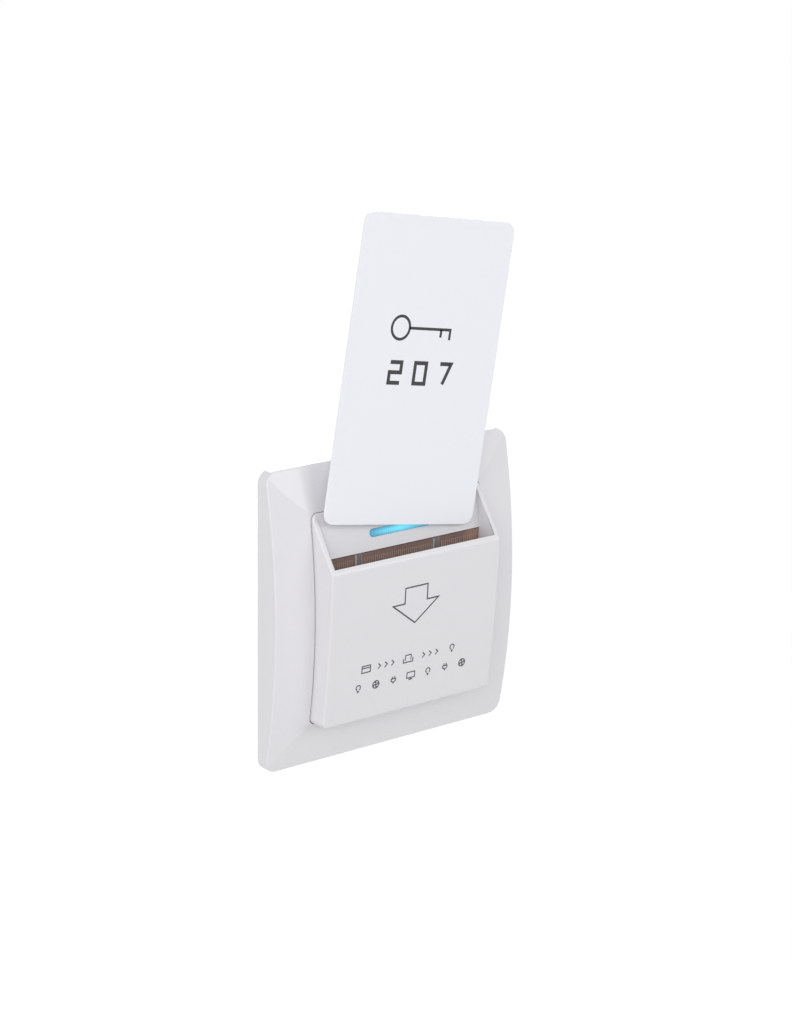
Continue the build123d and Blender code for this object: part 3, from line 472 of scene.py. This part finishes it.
def polish_frame(piece):
    """Gives the front faces the crowned form's exact normals, so that highlights run clean."""
    mesh = piece.data
    normals = [corner.vector.copy() for corner in mesh.corner_normals]
    nearly_flush = math.cos(math.radians(2.6))
    inward = 0.02
    for face in mesh.polygons:
        middle = face.center / mm
        if face.normal.dot(frame_normal(middle)) < nearly_flush:
            continue
        for corner in face.loop_indices:
            spot = mesh.vertices[mesh.loops[corner].vertex_index].co / mm
            normals[corner] = frame_normal(spot.lerp(middle, inward))
    mesh.normals_split_custom_set([tuple(normal) for normal in normals])


moulding_rounding, moulding_steps = 0.4, 4
face_frame = merged_copy("face_frame", "face_frame_skin")
weigh_edges(face_frame, frame_edge_share)
round_edges(face_frame, moulding_rounding, moulding_steps)
freeze(face_frame)
polish_frame(face_frame)
finished(face_frame, "face_frame", "switch_body", white_plastic)

# Pocket cover: cheeks, front wall, sloping floor and rim in one glossy white moulding.
# It snaps into the carrier with four hooks; its outer edges are eased by the mould.
pocket_half = 28.5
pocket_front = 14.0
cheek_foot_width = 0.2
cheek_foot_height = 28.0
cover_shows_from = 6.5


def on_cover_front(start, end):
    """True on the cover's edges before the frame, away from the pocket and the bar's slot."""
    middle = (start + end) / 2
    across = abs(middle.x)
    in_pocket = across < pocket_half and abs(middle.z) < pocket_half and middle.y > -pocket_front
    beside_pocket = pocket_half < across < pocket_half + cheek_foot_width
    cheek_foot = beside_pocket and middle.z > cheek_foot_height
    return middle.y < -cover_shows_from and not in_pocket and not cheek_foot


pocket_cover = merged_copy("pocket_cover", "pocket_cover_skin")
weigh_edges(pocket_cover, on_cover_front)
round_edges(pocket_cover, moulding_rounding, moulding_steps)
finished(pocket_cover, "pocket_cover", "switch_body", white_plastic)

# Light bar: a frosted clear lens pressed into the sloping floor, lit blue from behind.
# The lamps sit behind its middle, so it is nearly white there and deep cyan at the ends.
light_bar_half = 11.2
light_bar_height = 21.9
light_bar_front = 8.9
lens_middle_tone = (0.13, 0.66, 0.84, 1)
lens_between_tone = (0.085, 0.45, 0.62, 1)
lens_end_tone = (0.02, 0.16, 0.27, 1)
lens_between_share = 0.55
lens_unlit_tone = (0.07, 0.22, 0.30, 1)
lens_rib_scale = 420.0
lens_rib_shade = 0.86
lens_core_from, lens_core_to = 0.2, 1.15
lens_core_light, lens_rim_light = 1.1, 0.42


def place_along(tree, axis):
    """How far along an axis a place on the piece lies, in metres."""
    split = add(tree, "ShaderNodeSeparateXYZ", {0: object_place(tree)})
    return split.outputs[axis]


lens = new_material("lit_lens")
lens_tree = lens.node_tree
lens_from_middle = calculate(lens_tree, "ABSOLUTE", place_along(lens_tree, "X"))
lens_colours = add(
    lens_tree,
    "ShaderNodeValToRGB",
    {"Fac": spread(lens_tree, lens_from_middle, 0.0, light_bar_half * mm)},
)
lens_colours.color_ramp.elements[0].color = lens_middle_tone
lens_colours.color_ramp.elements[1].color = lens_end_tone
lens_colours.color_ramp.elements.new(lens_between_share).color = lens_between_tone
lens_ribs = add(
    lens_tree,
    "ShaderNodeTexWave",
    {"Vector": object_place(lens_tree), "Scale": lens_rib_scale, "Distortion": 0.4},
)
lens_ribs.wave_type = "BANDS"
lens_ribs.bands_direction = "X"
lens_rib_light = spread(lens_tree, lens_ribs.outputs["Fac"], 0.0, 1.0, lens_rib_shade, 1.0)
lens_above = calculate(lens_tree, "SUBTRACT", place_along(lens_tree, "Z"), light_bar_height * mm)
lens_off_core = calculate(lens_tree, "ABSOLUTE", lens_above)
lens_height_light = spread(
    lens_tree,
    lens_off_core,
    lens_core_from * mm,
    lens_core_to * mm,
    lens_core_light,
    lens_rim_light,
)
lens_light = calculate(lens_tree, "MULTIPLY", lens_rib_light, lens_height_light)
feed(
    lens_tree,
    shader_of(lens),
    {
        "Base Color": lens_unlit_tone,
        "Roughness": 0.3,
        "Normal": bump(lens_tree, lens_ribs.outputs["Fac"], strength=0.25, distance=0.2 * mm),
        "Emission Color": blend(
            lens_tree, 1.0, lens_colours.outputs["Color"], lens_light, "MULTIPLY"
        ),
        "Emission Strength": 1.0,
    },
)


def on_lens_face(start, end):
    """True on the lens's edges round its lit face."""
    return min(start.y, end.y) < -light_bar_front


light_bar = merged_copy("light_bar", "light_bar_lens")
weigh_edges(light_bar, on_lens_face)
round_edges(light_bar, width=0.12, steps=3)
finished(light_bar, "light_bar", "switch_body", lens)

# Slot liner: the smoked brown back wall of the pocket, a glossy clear-tinted moulding.
# Fine upright ribs on its face keep the card from rubbing; the card stands on its ledge.
# The ribs' finish is lighter than the liner's own: a painted highlight along each rib.
rib_painted_highlight = moulded(
    "smoked_ribs_painted_highlight",
    tone=(0.385, 0.275, 0.232),
    fleck=(0.26, 0.18, 0.145),
    roughness=(0.12, 0.25),
    grain=0.03,
    fleck_scale=300.0,
    fleck_amount=0.5,
)
smoked = moulded(
    "smoked_polycarbonate",
    tone=(0.255, 0.172, 0.143),
    fleck=(0.145, 0.090, 0.072),
    roughness=(0.10, 0.22),
    grain=0.03,
    fleck_scale=260.0,
    fleck_amount=0.5,
)
shader_of(smoked).inputs["Coat Weight"].default_value = 0.5
shader_of(smoked).inputs["Coat Roughness"].default_value = 0.08
warm_from, warm_to = 22.5, 25.5
warm_share = 0.7


def warm_right_end(material, warm_tone):
    """Turns the liner's right end reddish, where light comes through from its edge."""
    tree = material.node_tree
    shader = shader_of(material)
    across = place_along(tree, "X")
    near_end = spread(tree, across, warm_from * mm, warm_to * mm, at_high=warm_share)
    plain = shader.inputs["Base Color"].links[0].from_socket
    feed(tree, shader, {"Base Color": blend(tree, near_end, plain, (*warm_tone, 1))})


def dress(material, *nodes):
    """Gives carried-over nodes their finish."""
    for node in nodes:
        solid[node].data.materials.clear()
        solid[node].data.materials.append(material)


warm_right_end(smoked, (0.40, 0.235, 0.175))
warm_right_end(rib_painted_highlight, (0.50, 0.30, 0.23))
dress(smoked, "slot_liner")

rib_tree = new_group(
    "liner_ribs",
    "GeometryNodeTree",
    {
        "Geometry": "NodeSocketGeometry",
        "Rib Length": number_socket,
        "Rib Width": number_socket,
        "Rib Height": number_socket,
        "Finish": "NodeSocketMaterial",
    },
    {"Geometry": "NodeSocketGeometry"},
)
rib_in = rib_tree.nodes.new("NodeGroupInput")
rib_end = add(rib_tree, "ShaderNodeCombineXYZ", {"Z": rib_in.outputs["Rib Length"]})
rib_line = add(rib_tree, "GeometryNodeCurvePrimitiveLine", {"End": rib_end.outputs[0]})
rib_radius = calculate(rib_tree, "MULTIPLY", rib_in.outputs["Rib Width"], 0.5)
rib_side = add(
    rib_tree, "GeometryNodeCurvePrimitiveCircle", {"Resolution": 8, "Radius": rib_radius}
)
rib_bar = add(
    rib_tree,
    "GeometryNodeCurveToMesh",
    {
        "Curve": rib_line.outputs["Curve"],
        "Profile Curve": rib_side.outputs["Curve"],
        "Fill Caps": True,
    },
)
rib_scale = add(
    rib_tree, "ShaderNodeCombineXYZ", {"X": 1.0, "Y": rib_in.outputs["Rib Height"], "Z": 1.0}
)
rib_row = add(
    rib_tree,
    "GeometryNodeInstanceOnPoints",
    {
        "Points": rib_in.outputs["Geometry"],
        "Instance": rib_bar.outputs["Mesh"],
        "Scale": rib_scale.outputs[0],
    },
)
rib_solid = add(
    rib_tree, "GeometryNodeRealizeInstances", {"Geometry": rib_row.outputs["Instances"]}
)
rib_paint = add(
    rib_tree,
    "GeometryNodeSetMaterial",
    {"Geometry": rib_solid.outputs["Geometry"], "Material": rib_in.outputs["Finish"]},
)
add(rib_tree, "NodeGroupOutput", {"Geometry": rib_paint.outputs["Geometry"]})

rib_pitch = 0.75
rib_count = 74
rib_top, rib_bottom = 15.6, -20.0
rib_front = -9.3
rib_width = 0.42
rib_height_share = 0.6
left_guide, right_guide = -15.5, 12.5
guide_clearance = 1.6
rib_feet = []
for number in range(rib_count):
    across = (number - (rib_count - 1) / 2) * rib_pitch
    if min(abs(across - left_guide), abs(across - right_guide)) >= guide_clearance:
        rib_feet.append((across * mm, rib_front * mm, rib_bottom * mm))
ribs_mesh = bpy.data.meshes.new("liner_ribs")
ribs_mesh.from_pydata(rib_feet, [], [])
liner_ribs = new_object("liner_ribs", ribs_mesh)
ribbing = liner_ribs.modifiers.new("ribs", "NODES")
ribbing.node_group = rib_tree
rib_values = {
    "Rib Length": (rib_top - rib_bottom) * mm,
    "Rib Width": rib_width * mm,
    "Rib Height": rib_height_share,
    "Finish": rib_painted_highlight,
}
for socket in rib_tree.interface.items_tree:
    if socket.name in rib_values:
        ribbing[socket.identifier] = rib_values[socket.name]
finished(liner_ribs, None, "switch_body")

# Card guides: two clear acrylic strips let into the liner, which hold the card off it.
# Their edges are eased, and a pale painted highlight runs in their colour along both sides of
# each.
guide_front = 9.5
guide_flat_half, guide_painted_highlight_from = 0.7, 1.0
guide_tone = (0.38, 0.335, 0.335, 1)
# Painted highlight: the pale tone laid along both sides of each guide.
guide_painted_highlight_tone = (0.86, 0.83, 0.84, 1)
guide_cloud_scale = 700.0
guide_smooth, guide_rough = 0.05, 0.16
clear_plastic = new_material("clear_acrylic")
clear_tree = clear_plastic.node_tree
clear_off_middle = calculate(
    clear_tree,
    "PINGPONG",
    calculate(clear_tree, "SUBTRACT", place_along(clear_tree, "X"), left_guide * mm),
    (right_guide - left_guide) / 2 * mm,
)
# Share of the painted highlight: it rises from a guide's flat middle towards its edges.
guide_painted_highlight_share = spread(clear_tree, clear_off_middle, guide_flat_half * mm, guide_painted_highlight_from * mm)
clear_clouds = noise(clear_tree, guide_cloud_scale, detail=2.0)
feed(
    clear_tree,
    shader_of(clear_plastic),
    {
        "Base Color": blend(clear_tree, guide_painted_highlight_share, guide_tone, guide_painted_highlight_tone),
        "Roughness": spread(clear_tree, clear_clouds, 0.0, 1.0, guide_smooth, guide_rough),
        "Transmission Weight": 0.45,
        "IOR": 1.49,
    },
)


def on_guide_face(start, end):
    """True on the edges round a guide's front face."""
    return max(start.y, end.y) < -guide_front


card_guides = merged_copy("card_guides", "card_guide_strips")
weigh_edges(card_guides, on_guide_face)
round_edges(card_guides, width=0.25, steps=3)
finished(card_guides, "card_guides", "switch_body", clear_plastic)

# Printing on the front wall: an outlined arrow that points into the pocket, and two rows of
# plain signs under it. Dark grey ink, pad printed, a few hundredths of a millimetre thick.
ink = moulded(
    "dark_grey_ink",
    tone=(0.070, 0.072, 0.084),
    fleck=(0.095, 0.096, 0.105),
    roughness=(0.45, 0.6),
    grain=0.1,
    fleck_scale=2500.0,
    fleck_amount=0.6,
)
ink_thickness = 0.02
ink_step = 0.6
steepest_mitre = 0.4
lip_point = (15.0, 16.7)
middle_point = (-7.6, 15.35)
chin_point = (-30.2, 12.7)


def circle_through(a, b, c):
    """Centre and radius of the circle through three points."""
    squares = [point[0] ** 2 + point[1] ** 2 for point in (a, b, c)]
    double_area = a[0] * (b[1] - c[1]) + b[0] * (c[1] - a[1]) + c[0] * (a[1] - b[1])
    x = squares[0] * (b[1] - c[1]) + squares[1] * (c[1] - a[1]) + squares[2] * (a[1] - b[1])
    y = squares[0] * (c[0] - b[0]) + squares[1] * (a[0] - c[0]) + squares[2] * (b[0] - a[0])
    centre = (x / (2 * double_area), y / (2 * double_area))
    return centre, math.dist(a, centre)


wall_centre, wall_radius = circle_through(lip_point, middle_point, chin_point)


def on_front_wall(spot):
    """A point of the printing, laid on the bulged front wall."""
    bulge = math.sqrt(wall_radius**2 - (spot.y - wall_centre[0]) ** 2)
    depth = wall_centre[1] + bulge + ink_thickness
    return (spot.x * mm, -depth * mm, spot.y * mm)


def stroke(points, width, closed):
    """Flat band of ink along a line of points: its outline points and its faces."""
    path = []
    count = len(points)
    for index in range(count if closed else count - 1):
        start = Vector(points[index])
        end = Vector(points[(index + 1) % count])
        parts = max(1, round((end - start).length / ink_step))
        path.extend(start.lerp(end, part / parts) for part in range(parts))
    if not closed:
        path.append(Vector(points[-1]))
    total = len(path)
    spots = []
    for index, point in enumerate(path):
        run_in = run_out = None
        if closed or index > 0:
            run_in = (point - path[index - 1]).normalized()
        if closed or index < total - 1:
            run_out = (path[(index + 1) % total] - point).normalized()
        run_in, run_out = run_in or run_out, run_out or run_in
        run = (run_in + run_out).normalized()
        across = Vector((-run.y, run.x))
        mitre = across.dot(Vector((-run_out.y, run_out.x)))
        half = width / 2 / max(mitre, steepest_mitre)
        spots += [point - across * half, point + across * half]
    faces = []
    for index in range(total if closed else total - 1):
        here, there = 2 * index, 2 * ((index + 1) % total)
        faces.append((here, there, there + 1, here + 1))
    return spots, faces


def ring(middle, radius, start=0, turn=360, steps=20):
    """Points round an arc, in degrees from the right, anticlockwise."""
    count = steps if turn == 360 else steps + 1
    angles = [math.radians(start + turn * step / steps) for step in range(count)]
    return [
        (middle[0] + radius * math.cos(angle), middle[1] + radius * math.sin(angle))
        for angle in angles
    ]


def printed(name, strokes, place, body, material):
    """One mesh of ink from several strokes; place lays a flat point on the piece."""
    vertices, faces = [], []
    for points, width, closed in strokes:
        spots, bands = stroke(points, width, closed)
        first = len(vertices)
        vertices.extend(place(spot) for spot in spots)
        faces.extend(tuple(first + corner for corner in band) for band in bands)
    mesh = bpy.data.meshes.new(name)
    mesh.from_pydata(vertices, [], faces)
    finished(new_object(name, mesh), None, body, material)


arrow_line = 0.42
arrow_outline = [
    (-4.15, 6.65),
    (-4.15, 2.1),
    (-8.4, 2.1),
    (-0.15, -4.15),
    (8.1, 2.1),
    (3.9, 2.1),
    (3.9, 6.65),
]
printed(
    "pocket_arrow",
    [(arrow_outline, arrow_line, True)],
    on_front_wall,
    "switch_body",
    ink,
)

sign_line = 0.34


def line(*points):
    """An open stroke of a sign."""
    return points, sign_line, False


def outline(*points):
    """A closed stroke of a sign."""
    return points, sign_line, True


card_sign = [
    outline((-1.5, -1.0), (1.5, -1.0), (1.5, 1.0), (-1.5, 1.0)),
    line((-1.5, 0.35), (1.5, 0.35)),
]
chevron_sign = [line((-0.45, 0.8), (0.45, 0.0), (-0.45, -0.8))]
pocket_sign = [
    line((-1.7, 0.2), (-1.7, -1.05), (1.7, -1.05), (1.7, 0.2)),
    line((-1.0, -0.5), (-1.0, 1.1), (1.0, 1.1), (1.0, -0.5)),
]
lamp_sign = [
    line(*ring((0, 0.25), 0.75, start=-60, turn=300, steps=16)),
    line((-0.38, -0.75), (0.38, -0.75)),
    line((-0.25, -1.1), (0.25, -1.1)),
]
plug_sign = [
    outline((-0.8, 0.35), (0.8, 0.35), (0.8, -0.25), (0, -0.75), (-0.8, -0.25)),
    line((-0.4, 0.45), (-0.4, 1.1)),
    line((0.4, 0.45), (0.4, 1.1)),
    line((0, -0.75), (0, -1.15)),
]
fan_sign = [outline(*ring((0, 0), 1.1))]
for blade in (0, 90, 180, 270):
    blade_tip = ring((0, 0), 0.75, start=blade, turn=40, steps=4)
    fan_sign += [line(*blade_tip), line((0, 0), blade_tip[0])]
screen_sign = [
    outline((-1.4, -0.6), (1.4, -0.6), (1.4, 1.1), (-1.4, 1.1)),
    line((0, -0.6), (0, -1.05)),
    line((-0.7, -1.1), (0.7, -1.1)),
]


def sign_row(height, signs):
    """The strokes of a row of signs, each a sign and its place across."""
    return [
        ([(across + x, height + z) for x, z in points], width, closed)
        for sign, across in signs
        for points, width, closed in sign
    ]


upper_height, lower_height = -14.7, -20.15
upper_row = sign_row(
    upper_height,
    [
        (card_sign, -16.6),
        (chevron_sign, -11.9),
        (chevron_sign, -9.5),
        (chevron_sign, -7.1),
        (pocket_sign, -1.5),
        (chevron_sign, 4.1),
        (chevron_sign, 6.5),
        (chevron_sign, 8.9),
        (lamp_sign, 14.6),
    ],
)
lower_signs = (lamp_sign, fan_sign, plug_sign, screen_sign, lamp_sign, plug_sign, fan_sign)
lower_start, lower_pitch = -18.9, 6.3
lower_row = sign_row(
    lower_height,
    [(sign, lower_start + number * lower_pitch) for number, sign in enumerate(lower_signs)],
)
printed("upper_signs", upper_row, on_front_wall, "switch_body", ink)
printed("lower_signs", lower_row, on_front_wall, "switch_body", ink)

# Guest card: two white sheets laminated round the radio coil, with softly cut edges.
# It is silky PVC, printed in black with an outlined key and a room's number.
card_plastic = moulded(
    "card_pvc",
    tone=(0.915, 0.925, 0.97),
    fleck=(0.89, 0.90, 0.945),
    roughness=(0.28, 0.38),
    grain=0.04,
    grain_scale=12000.0,
)
shader_of(card_plastic).inputs["Coat Weight"].default_value = 0.3
shader_of(card_plastic).inputs["Coat Roughness"].default_value = 0.25
card_plane = 10.4
card_half_thickness = 0.38
card_edge_from = 0.3
shortest_edge = 0.01
card_turned = math.radians(9.5)
card_middle = (4.864, 65.613)


def on_card_face(start, end):
    """True on the edges round the card's front and back faces."""
    off_middle = min(abs(start.y + card_plane), abs(end.y + card_plane))
    return (start - end).length > shortest_edge and off_middle > card_edge_from


def on_card(spot):
    """A point of the card's printing, laid on its tilted front."""
    across = math.cos(card_turned) * spot.x + math.sin(card_turned) * spot.y
    up = math.cos(card_turned) * spot.y - math.sin(card_turned) * spot.x
    depth = card_plane + card_half_thickness + ink_thickness
    return ((card_middle[0] + across) * mm, -depth * mm, (card_middle[1] + up) * mm)


for node, label in (("card_front_sheet", "card_front"), ("card_back_sheet", "card_back")):
    sheet = merged_copy(node, label)
    weigh_edges(sheet, on_card_face)
    round_edges(sheet, width=0.07, steps=2)
    finished(sheet, node, "guest_card", card_plastic)

card_ink = moulded(
    "black_card_ink",
    tone=(0.03, 0.03, 0.034),
    fleck=(0.05, 0.05, 0.055),
    roughness=(0.35, 0.5),
    fleck_amount=0.5,
)
key_line = 0.8
number_line = 1.1
key_strokes = [
    (ring((-9.5, 12.0), 3.2, steps=28), key_line, True),
    ([(-6.3, 12.0), (8.5, 12.0), (8.5, 9.2)], key_line, False),
    ([(5.2, 12.0), (5.2, 9.8)], key_line, False),
]
two = [(-11.4, 2.5), (-7.4, 2.5), (-7.4, -0.3), (-11.4, -0.3), (-11.4, -3.2), (-7.4, -3.2)]
nought = [(-2.4, 2.5), (1.6, 2.5), (1.6, -3.2), (-2.4, -3.2)]
seven = [(6.6, 2.5), (10.6, 2.5), (8.2, -3.2)]
number_strokes = [
    (two, number_line, False),
    (nought, number_line, True),
    (seven, number_line, False),
]
printed(
    "card_key_sign",
    key_strokes + number_strokes,
    on_card,
    "guest_card",
    card_ink,
)

# Card inlay: an etched copper spiral and its small chip, potted in black epoxy.
# Both lie hidden between the card's two sheets, and the card is read through them by radio.
metal_noise_scale = 4000.0
metal_finish = new_group(
    "metal_finish",
    "ShaderNodeTree",
    {
        "Bright": colour_socket,
        "Dull": colour_socket,
        "Smooth Roughness": number_socket,
        "Rough Roughness": number_socket,
    },
    {"Color": colour_socket, "Roughness": number_socket, "Height": number_socket},
)
metal_in = metal_finish.nodes.new("NodeGroupInput")
metal_noise = noise(metal_finish, metal_noise_scale, detail=4.0)
metal_tarnish = spread(metal_finish, metal_noise, noise_low, noise_high)
metal_tone = blend(
    metal_finish, metal_tarnish, metal_in.outputs["Bright"], metal_in.outputs["Dull"]
)
metal_gloss = spread(
    metal_finish,
    metal_tarnish,
    0.0,
    1.0,
    metal_in.outputs["Smooth Roughness"],
    metal_in.outputs["Rough Roughness"],
)
add(
    metal_finish,
    "NodeGroupOutput",
    {"Color": metal_tone, "Roughness": metal_gloss, "Height": metal_noise},
)


def metal(name, bright, dull, roughness, grain=0.08):
    """A metal whose tarnish, gloss and tool marks come from fine noise."""
    values = {
        "Bright": (*bright, 1),
        "Dull": (*dull, 1),
        "Smooth Roughness": roughness[0],
        "Rough Roughness": roughness[1],
    }
    material = from_finish(name, metal_finish, values, grain)
    shader_of(material).inputs["Metallic"].default_value = 1.0
    return material


copper = metal(
    "etched_copper",
    bright=(0.80, 0.42, 0.26),
    dull=(0.62, 0.30, 0.18),
    roughness=(0.25, 0.4),
)
epoxy = moulded(
    "black_epoxy",
    tone=(0.018, 0.018, 0.020),
    fleck=(0.045, 0.045, 0.048),
    roughness=(0.35, 0.55),
    grain=0.2,
    fleck_amount=0.5,
)
dress(copper, "card_coil")
dress(epoxy, "card_chip")

# Carrier plate: glass-filled grey nylon, moulded with slots, windows, posts and pegs.
# Two screws through its slots hold it on the wall box; everything else hangs on it.
body_of_node = {
    node: body
    for body, names in frame["record"]["behaviour"]["bodies"].items()
    for node in names
}


def dress_round(material, slot, *nodes):
    """Replaces nodes with curved faces by smooth copies with their finish."""
    for node in nodes:
        piece = merged_copy(node, node + "_smooth")
        finished(piece, node, body_of_node[node], material)


carrier_plastic = moulded(
    "glass_filled_nylon",
    tone=(0.33, 0.34, 0.35),
    fleck=(0.44, 0.45, 0.46),
    roughness=(0.42, 0.6),
    grain=0.25,
    fleck_scale=2600.0,
    fleck_amount=0.5,
)
dress_round(carrier_plastic, "grey_plastic", "carrier_plate")

# Rear housing: a stepped box of white nylon with a spark-eroded, matt surface.
# It holds the power board and the terminals, and is vented above the relay.
housing_plastic = moulded(
    "spark_eroded_nylon",
    tone=(0.60, 0.60, 0.60),
    fleck=(0.54, 0.54, 0.55),
    roughness=(0.5, 0.65),
    grain=0.35,
    grain_scale=5000.0,
)
dress_round(housing_plastic, "housing_plastic", "rear_housing")

# Screws: four zinc-plated assembly screws, four small ones for the reader board,
# and four clamp screws in the terminals, all cold headed with rolled threads.
zinc = metal(
    "zinc_plate",
    bright=(0.66, 0.67, 0.68),
    dull=(0.55, 0.56, 0.58),
    roughness=(0.22, 0.34),
    grain=0.03,
)
dress_round(zinc, "screw_steel", "assembly_screws", "board_screws")
dress_round(zinc, "screw_steel", *(f"terminal_screw_{number}" for number in range(1, 5)))

# Circuit boards: glass-epoxy laminate under green solder mask, with tracks that show
# as slightly lighter lines. The antenna is bare etched copper on the reader board.
mask_green = (0.012, 0.115, 0.048)
board_mask = moulded(
    "green_solder_mask",
    tone=mask_green,
    fleck=mask_green,
    roughness=(0.22, 0.32),
    grain=0.1,
)
board_tree = board_mask.node_tree
board_face = add(
    board_tree,
    "ShaderNodeMapping",
    {"Vector": object_place(board_tree), "Rotation": (math.radians(90), 0, 0)},
)
board_tracks = add(
    board_tree,
    "ShaderNodeTexBrick",
    {
        "Vector": board_face.outputs["Vector"],
        "Scale": 240.0,
        "Mortar Size": 0.035,
        "Color1": (*mask_green, 1),
        "Color2": (0.014, 0.130, 0.054, 1),
        "Mortar": (0.035, 0.235, 0.100, 1),
    },
)
board_tracks.offset = 0.37
feed(board_tree, shader_of(board_mask), {"Base Color": board_tracks.outputs["Color"]})
dress(board_mask, "reader_board", "power_board")
dress(copper, "antenna_coil")

# Parts on the reader board: two chips in black epoxy with tinned legs, a clock crystal
# in its tinned can, and the two lamps behind the light bar, all soldered on its face.
tin = metal(
    "hot_tinned_copper",
    bright=(0.72, 0.70, 0.66),
    dull=(0.55, 0.53, 0.50),
    roughness=(0.18, 0.35),
)
lamp_body = moulded(
    "lamp_ceramic",
    tone=(0.78, 0.76, 0.66),
    fleck=(0.70, 0.66, 0.50),
    roughness=(0.3, 0.45),
)
dress(epoxy, "chip_bodies")
dress(tin, "chip_legs")
dress_round(tin, "tinned_metal", "clock_crystal")
dress_round(lamp_body, "lamp_body", "indicator_lamps")

# Board link: a black nylon spacer and socket, with six pins flashed with gold.
# It stands between the two boards and plugs the reader board into the power board.
black_nylon = moulded(
    "black_nylon",
    tone=(0.022, 0.022, 0.024),
    fleck=(0.05, 0.05, 0.05),
    roughness=(0.4, 0.55),
    grain=0.2,
)
gold = metal(
    "gold_flash",
    bright=(0.83, 0.61, 0.25),
    dull=(0.70, 0.50, 0.20),
    roughness=(0.18, 0.3),
)
dress(black_nylon, "link_spacer", "link_socket")
dress(gold, "link_pins")

# Parts on the power board: relay, film capacitor, two rolled capacitors in shrink sleeves,
# lacquered varistor, sealed fuse, rectifier and regulator, all soldered through the board.
relay_case = moulded(
    "relay_polyester",
    tone=(0.045, 0.10, 0.28),
    fleck=(0.06, 0.13, 0.33),
    roughness=(0.25, 0.4),
    grain=0.15,
)
film_case = moulded(
    "film_capacitor_case",
    tone=(0.62, 0.42, 0.045),
    fleck=(0.55, 0.36, 0.04),
    roughness=(0.25, 0.4),
    grain=0.1,
)
sleeve = moulded(
    "shrink_sleeve",
    tone=(0.025, 0.028, 0.040),
    fleck=(0.04, 0.045, 0.06),
    roughness=(0.16, 0.3),
    grain=0.06,
)
lacquer = moulded(
    "blue_lacquer",
    tone=(0.02, 0.09, 0.27),
    fleck=(0.03, 0.12, 0.32),
    roughness=(0.18, 0.35),
    grain=0.5,
    grain_scale=1500.0,
)
fuse_case = moulded(
    "brown_fuse_case",
    tone=(0.14, 0.065, 0.035),
    fleck=(0.18, 0.085, 0.045),
    roughness=(0.3, 0.45),
    grain=0.1,
)
dress_round(relay_case, "relay_case", "relay")
dress_round(film_case, "yellow_case", "film_capacitor")
dress_round(sleeve, "can_sleeve", "smoothing_capacitors")
dress_round(lacquer, "blue_lacquer", "varistor")
dress_round(fuse_case, "brown_case", "fuse")
dress(epoxy, "rectifier", "regulator")

# Terminals: a grey block with four cells; each clamp screw draws its nickel-plated cage
# and presses the wire against a bent brass bar that is soldered in the board.
terminal_plastic = moulded(
    "terminal_nylon",
    tone=(0.42, 0.43, 0.44),
    fleck=(0.50, 0.51, 0.52),
    roughness=(0.4, 0.55),
    grain=0.2,
    fleck_amount=0.3,
)
brass = metal(
    "drawn_brass",
    bright=(0.80, 0.62, 0.28),
    dull=(0.64, 0.47, 0.20),
    roughness=(0.22, 0.38),
)
nickel = metal(
    "nickel_plate",
    bright=(0.66, 0.63, 0.57),
    dull=(0.50, 0.47, 0.42),
    roughness=(0.2, 0.35),
)
dress_round(terminal_plastic, "terminal_plastic", "terminal_block")
dress(brass, "contact_bars")
dress_round(nickel, "plated_steel", *(f"terminal_cage_{number}" for number in range(1, 5)))
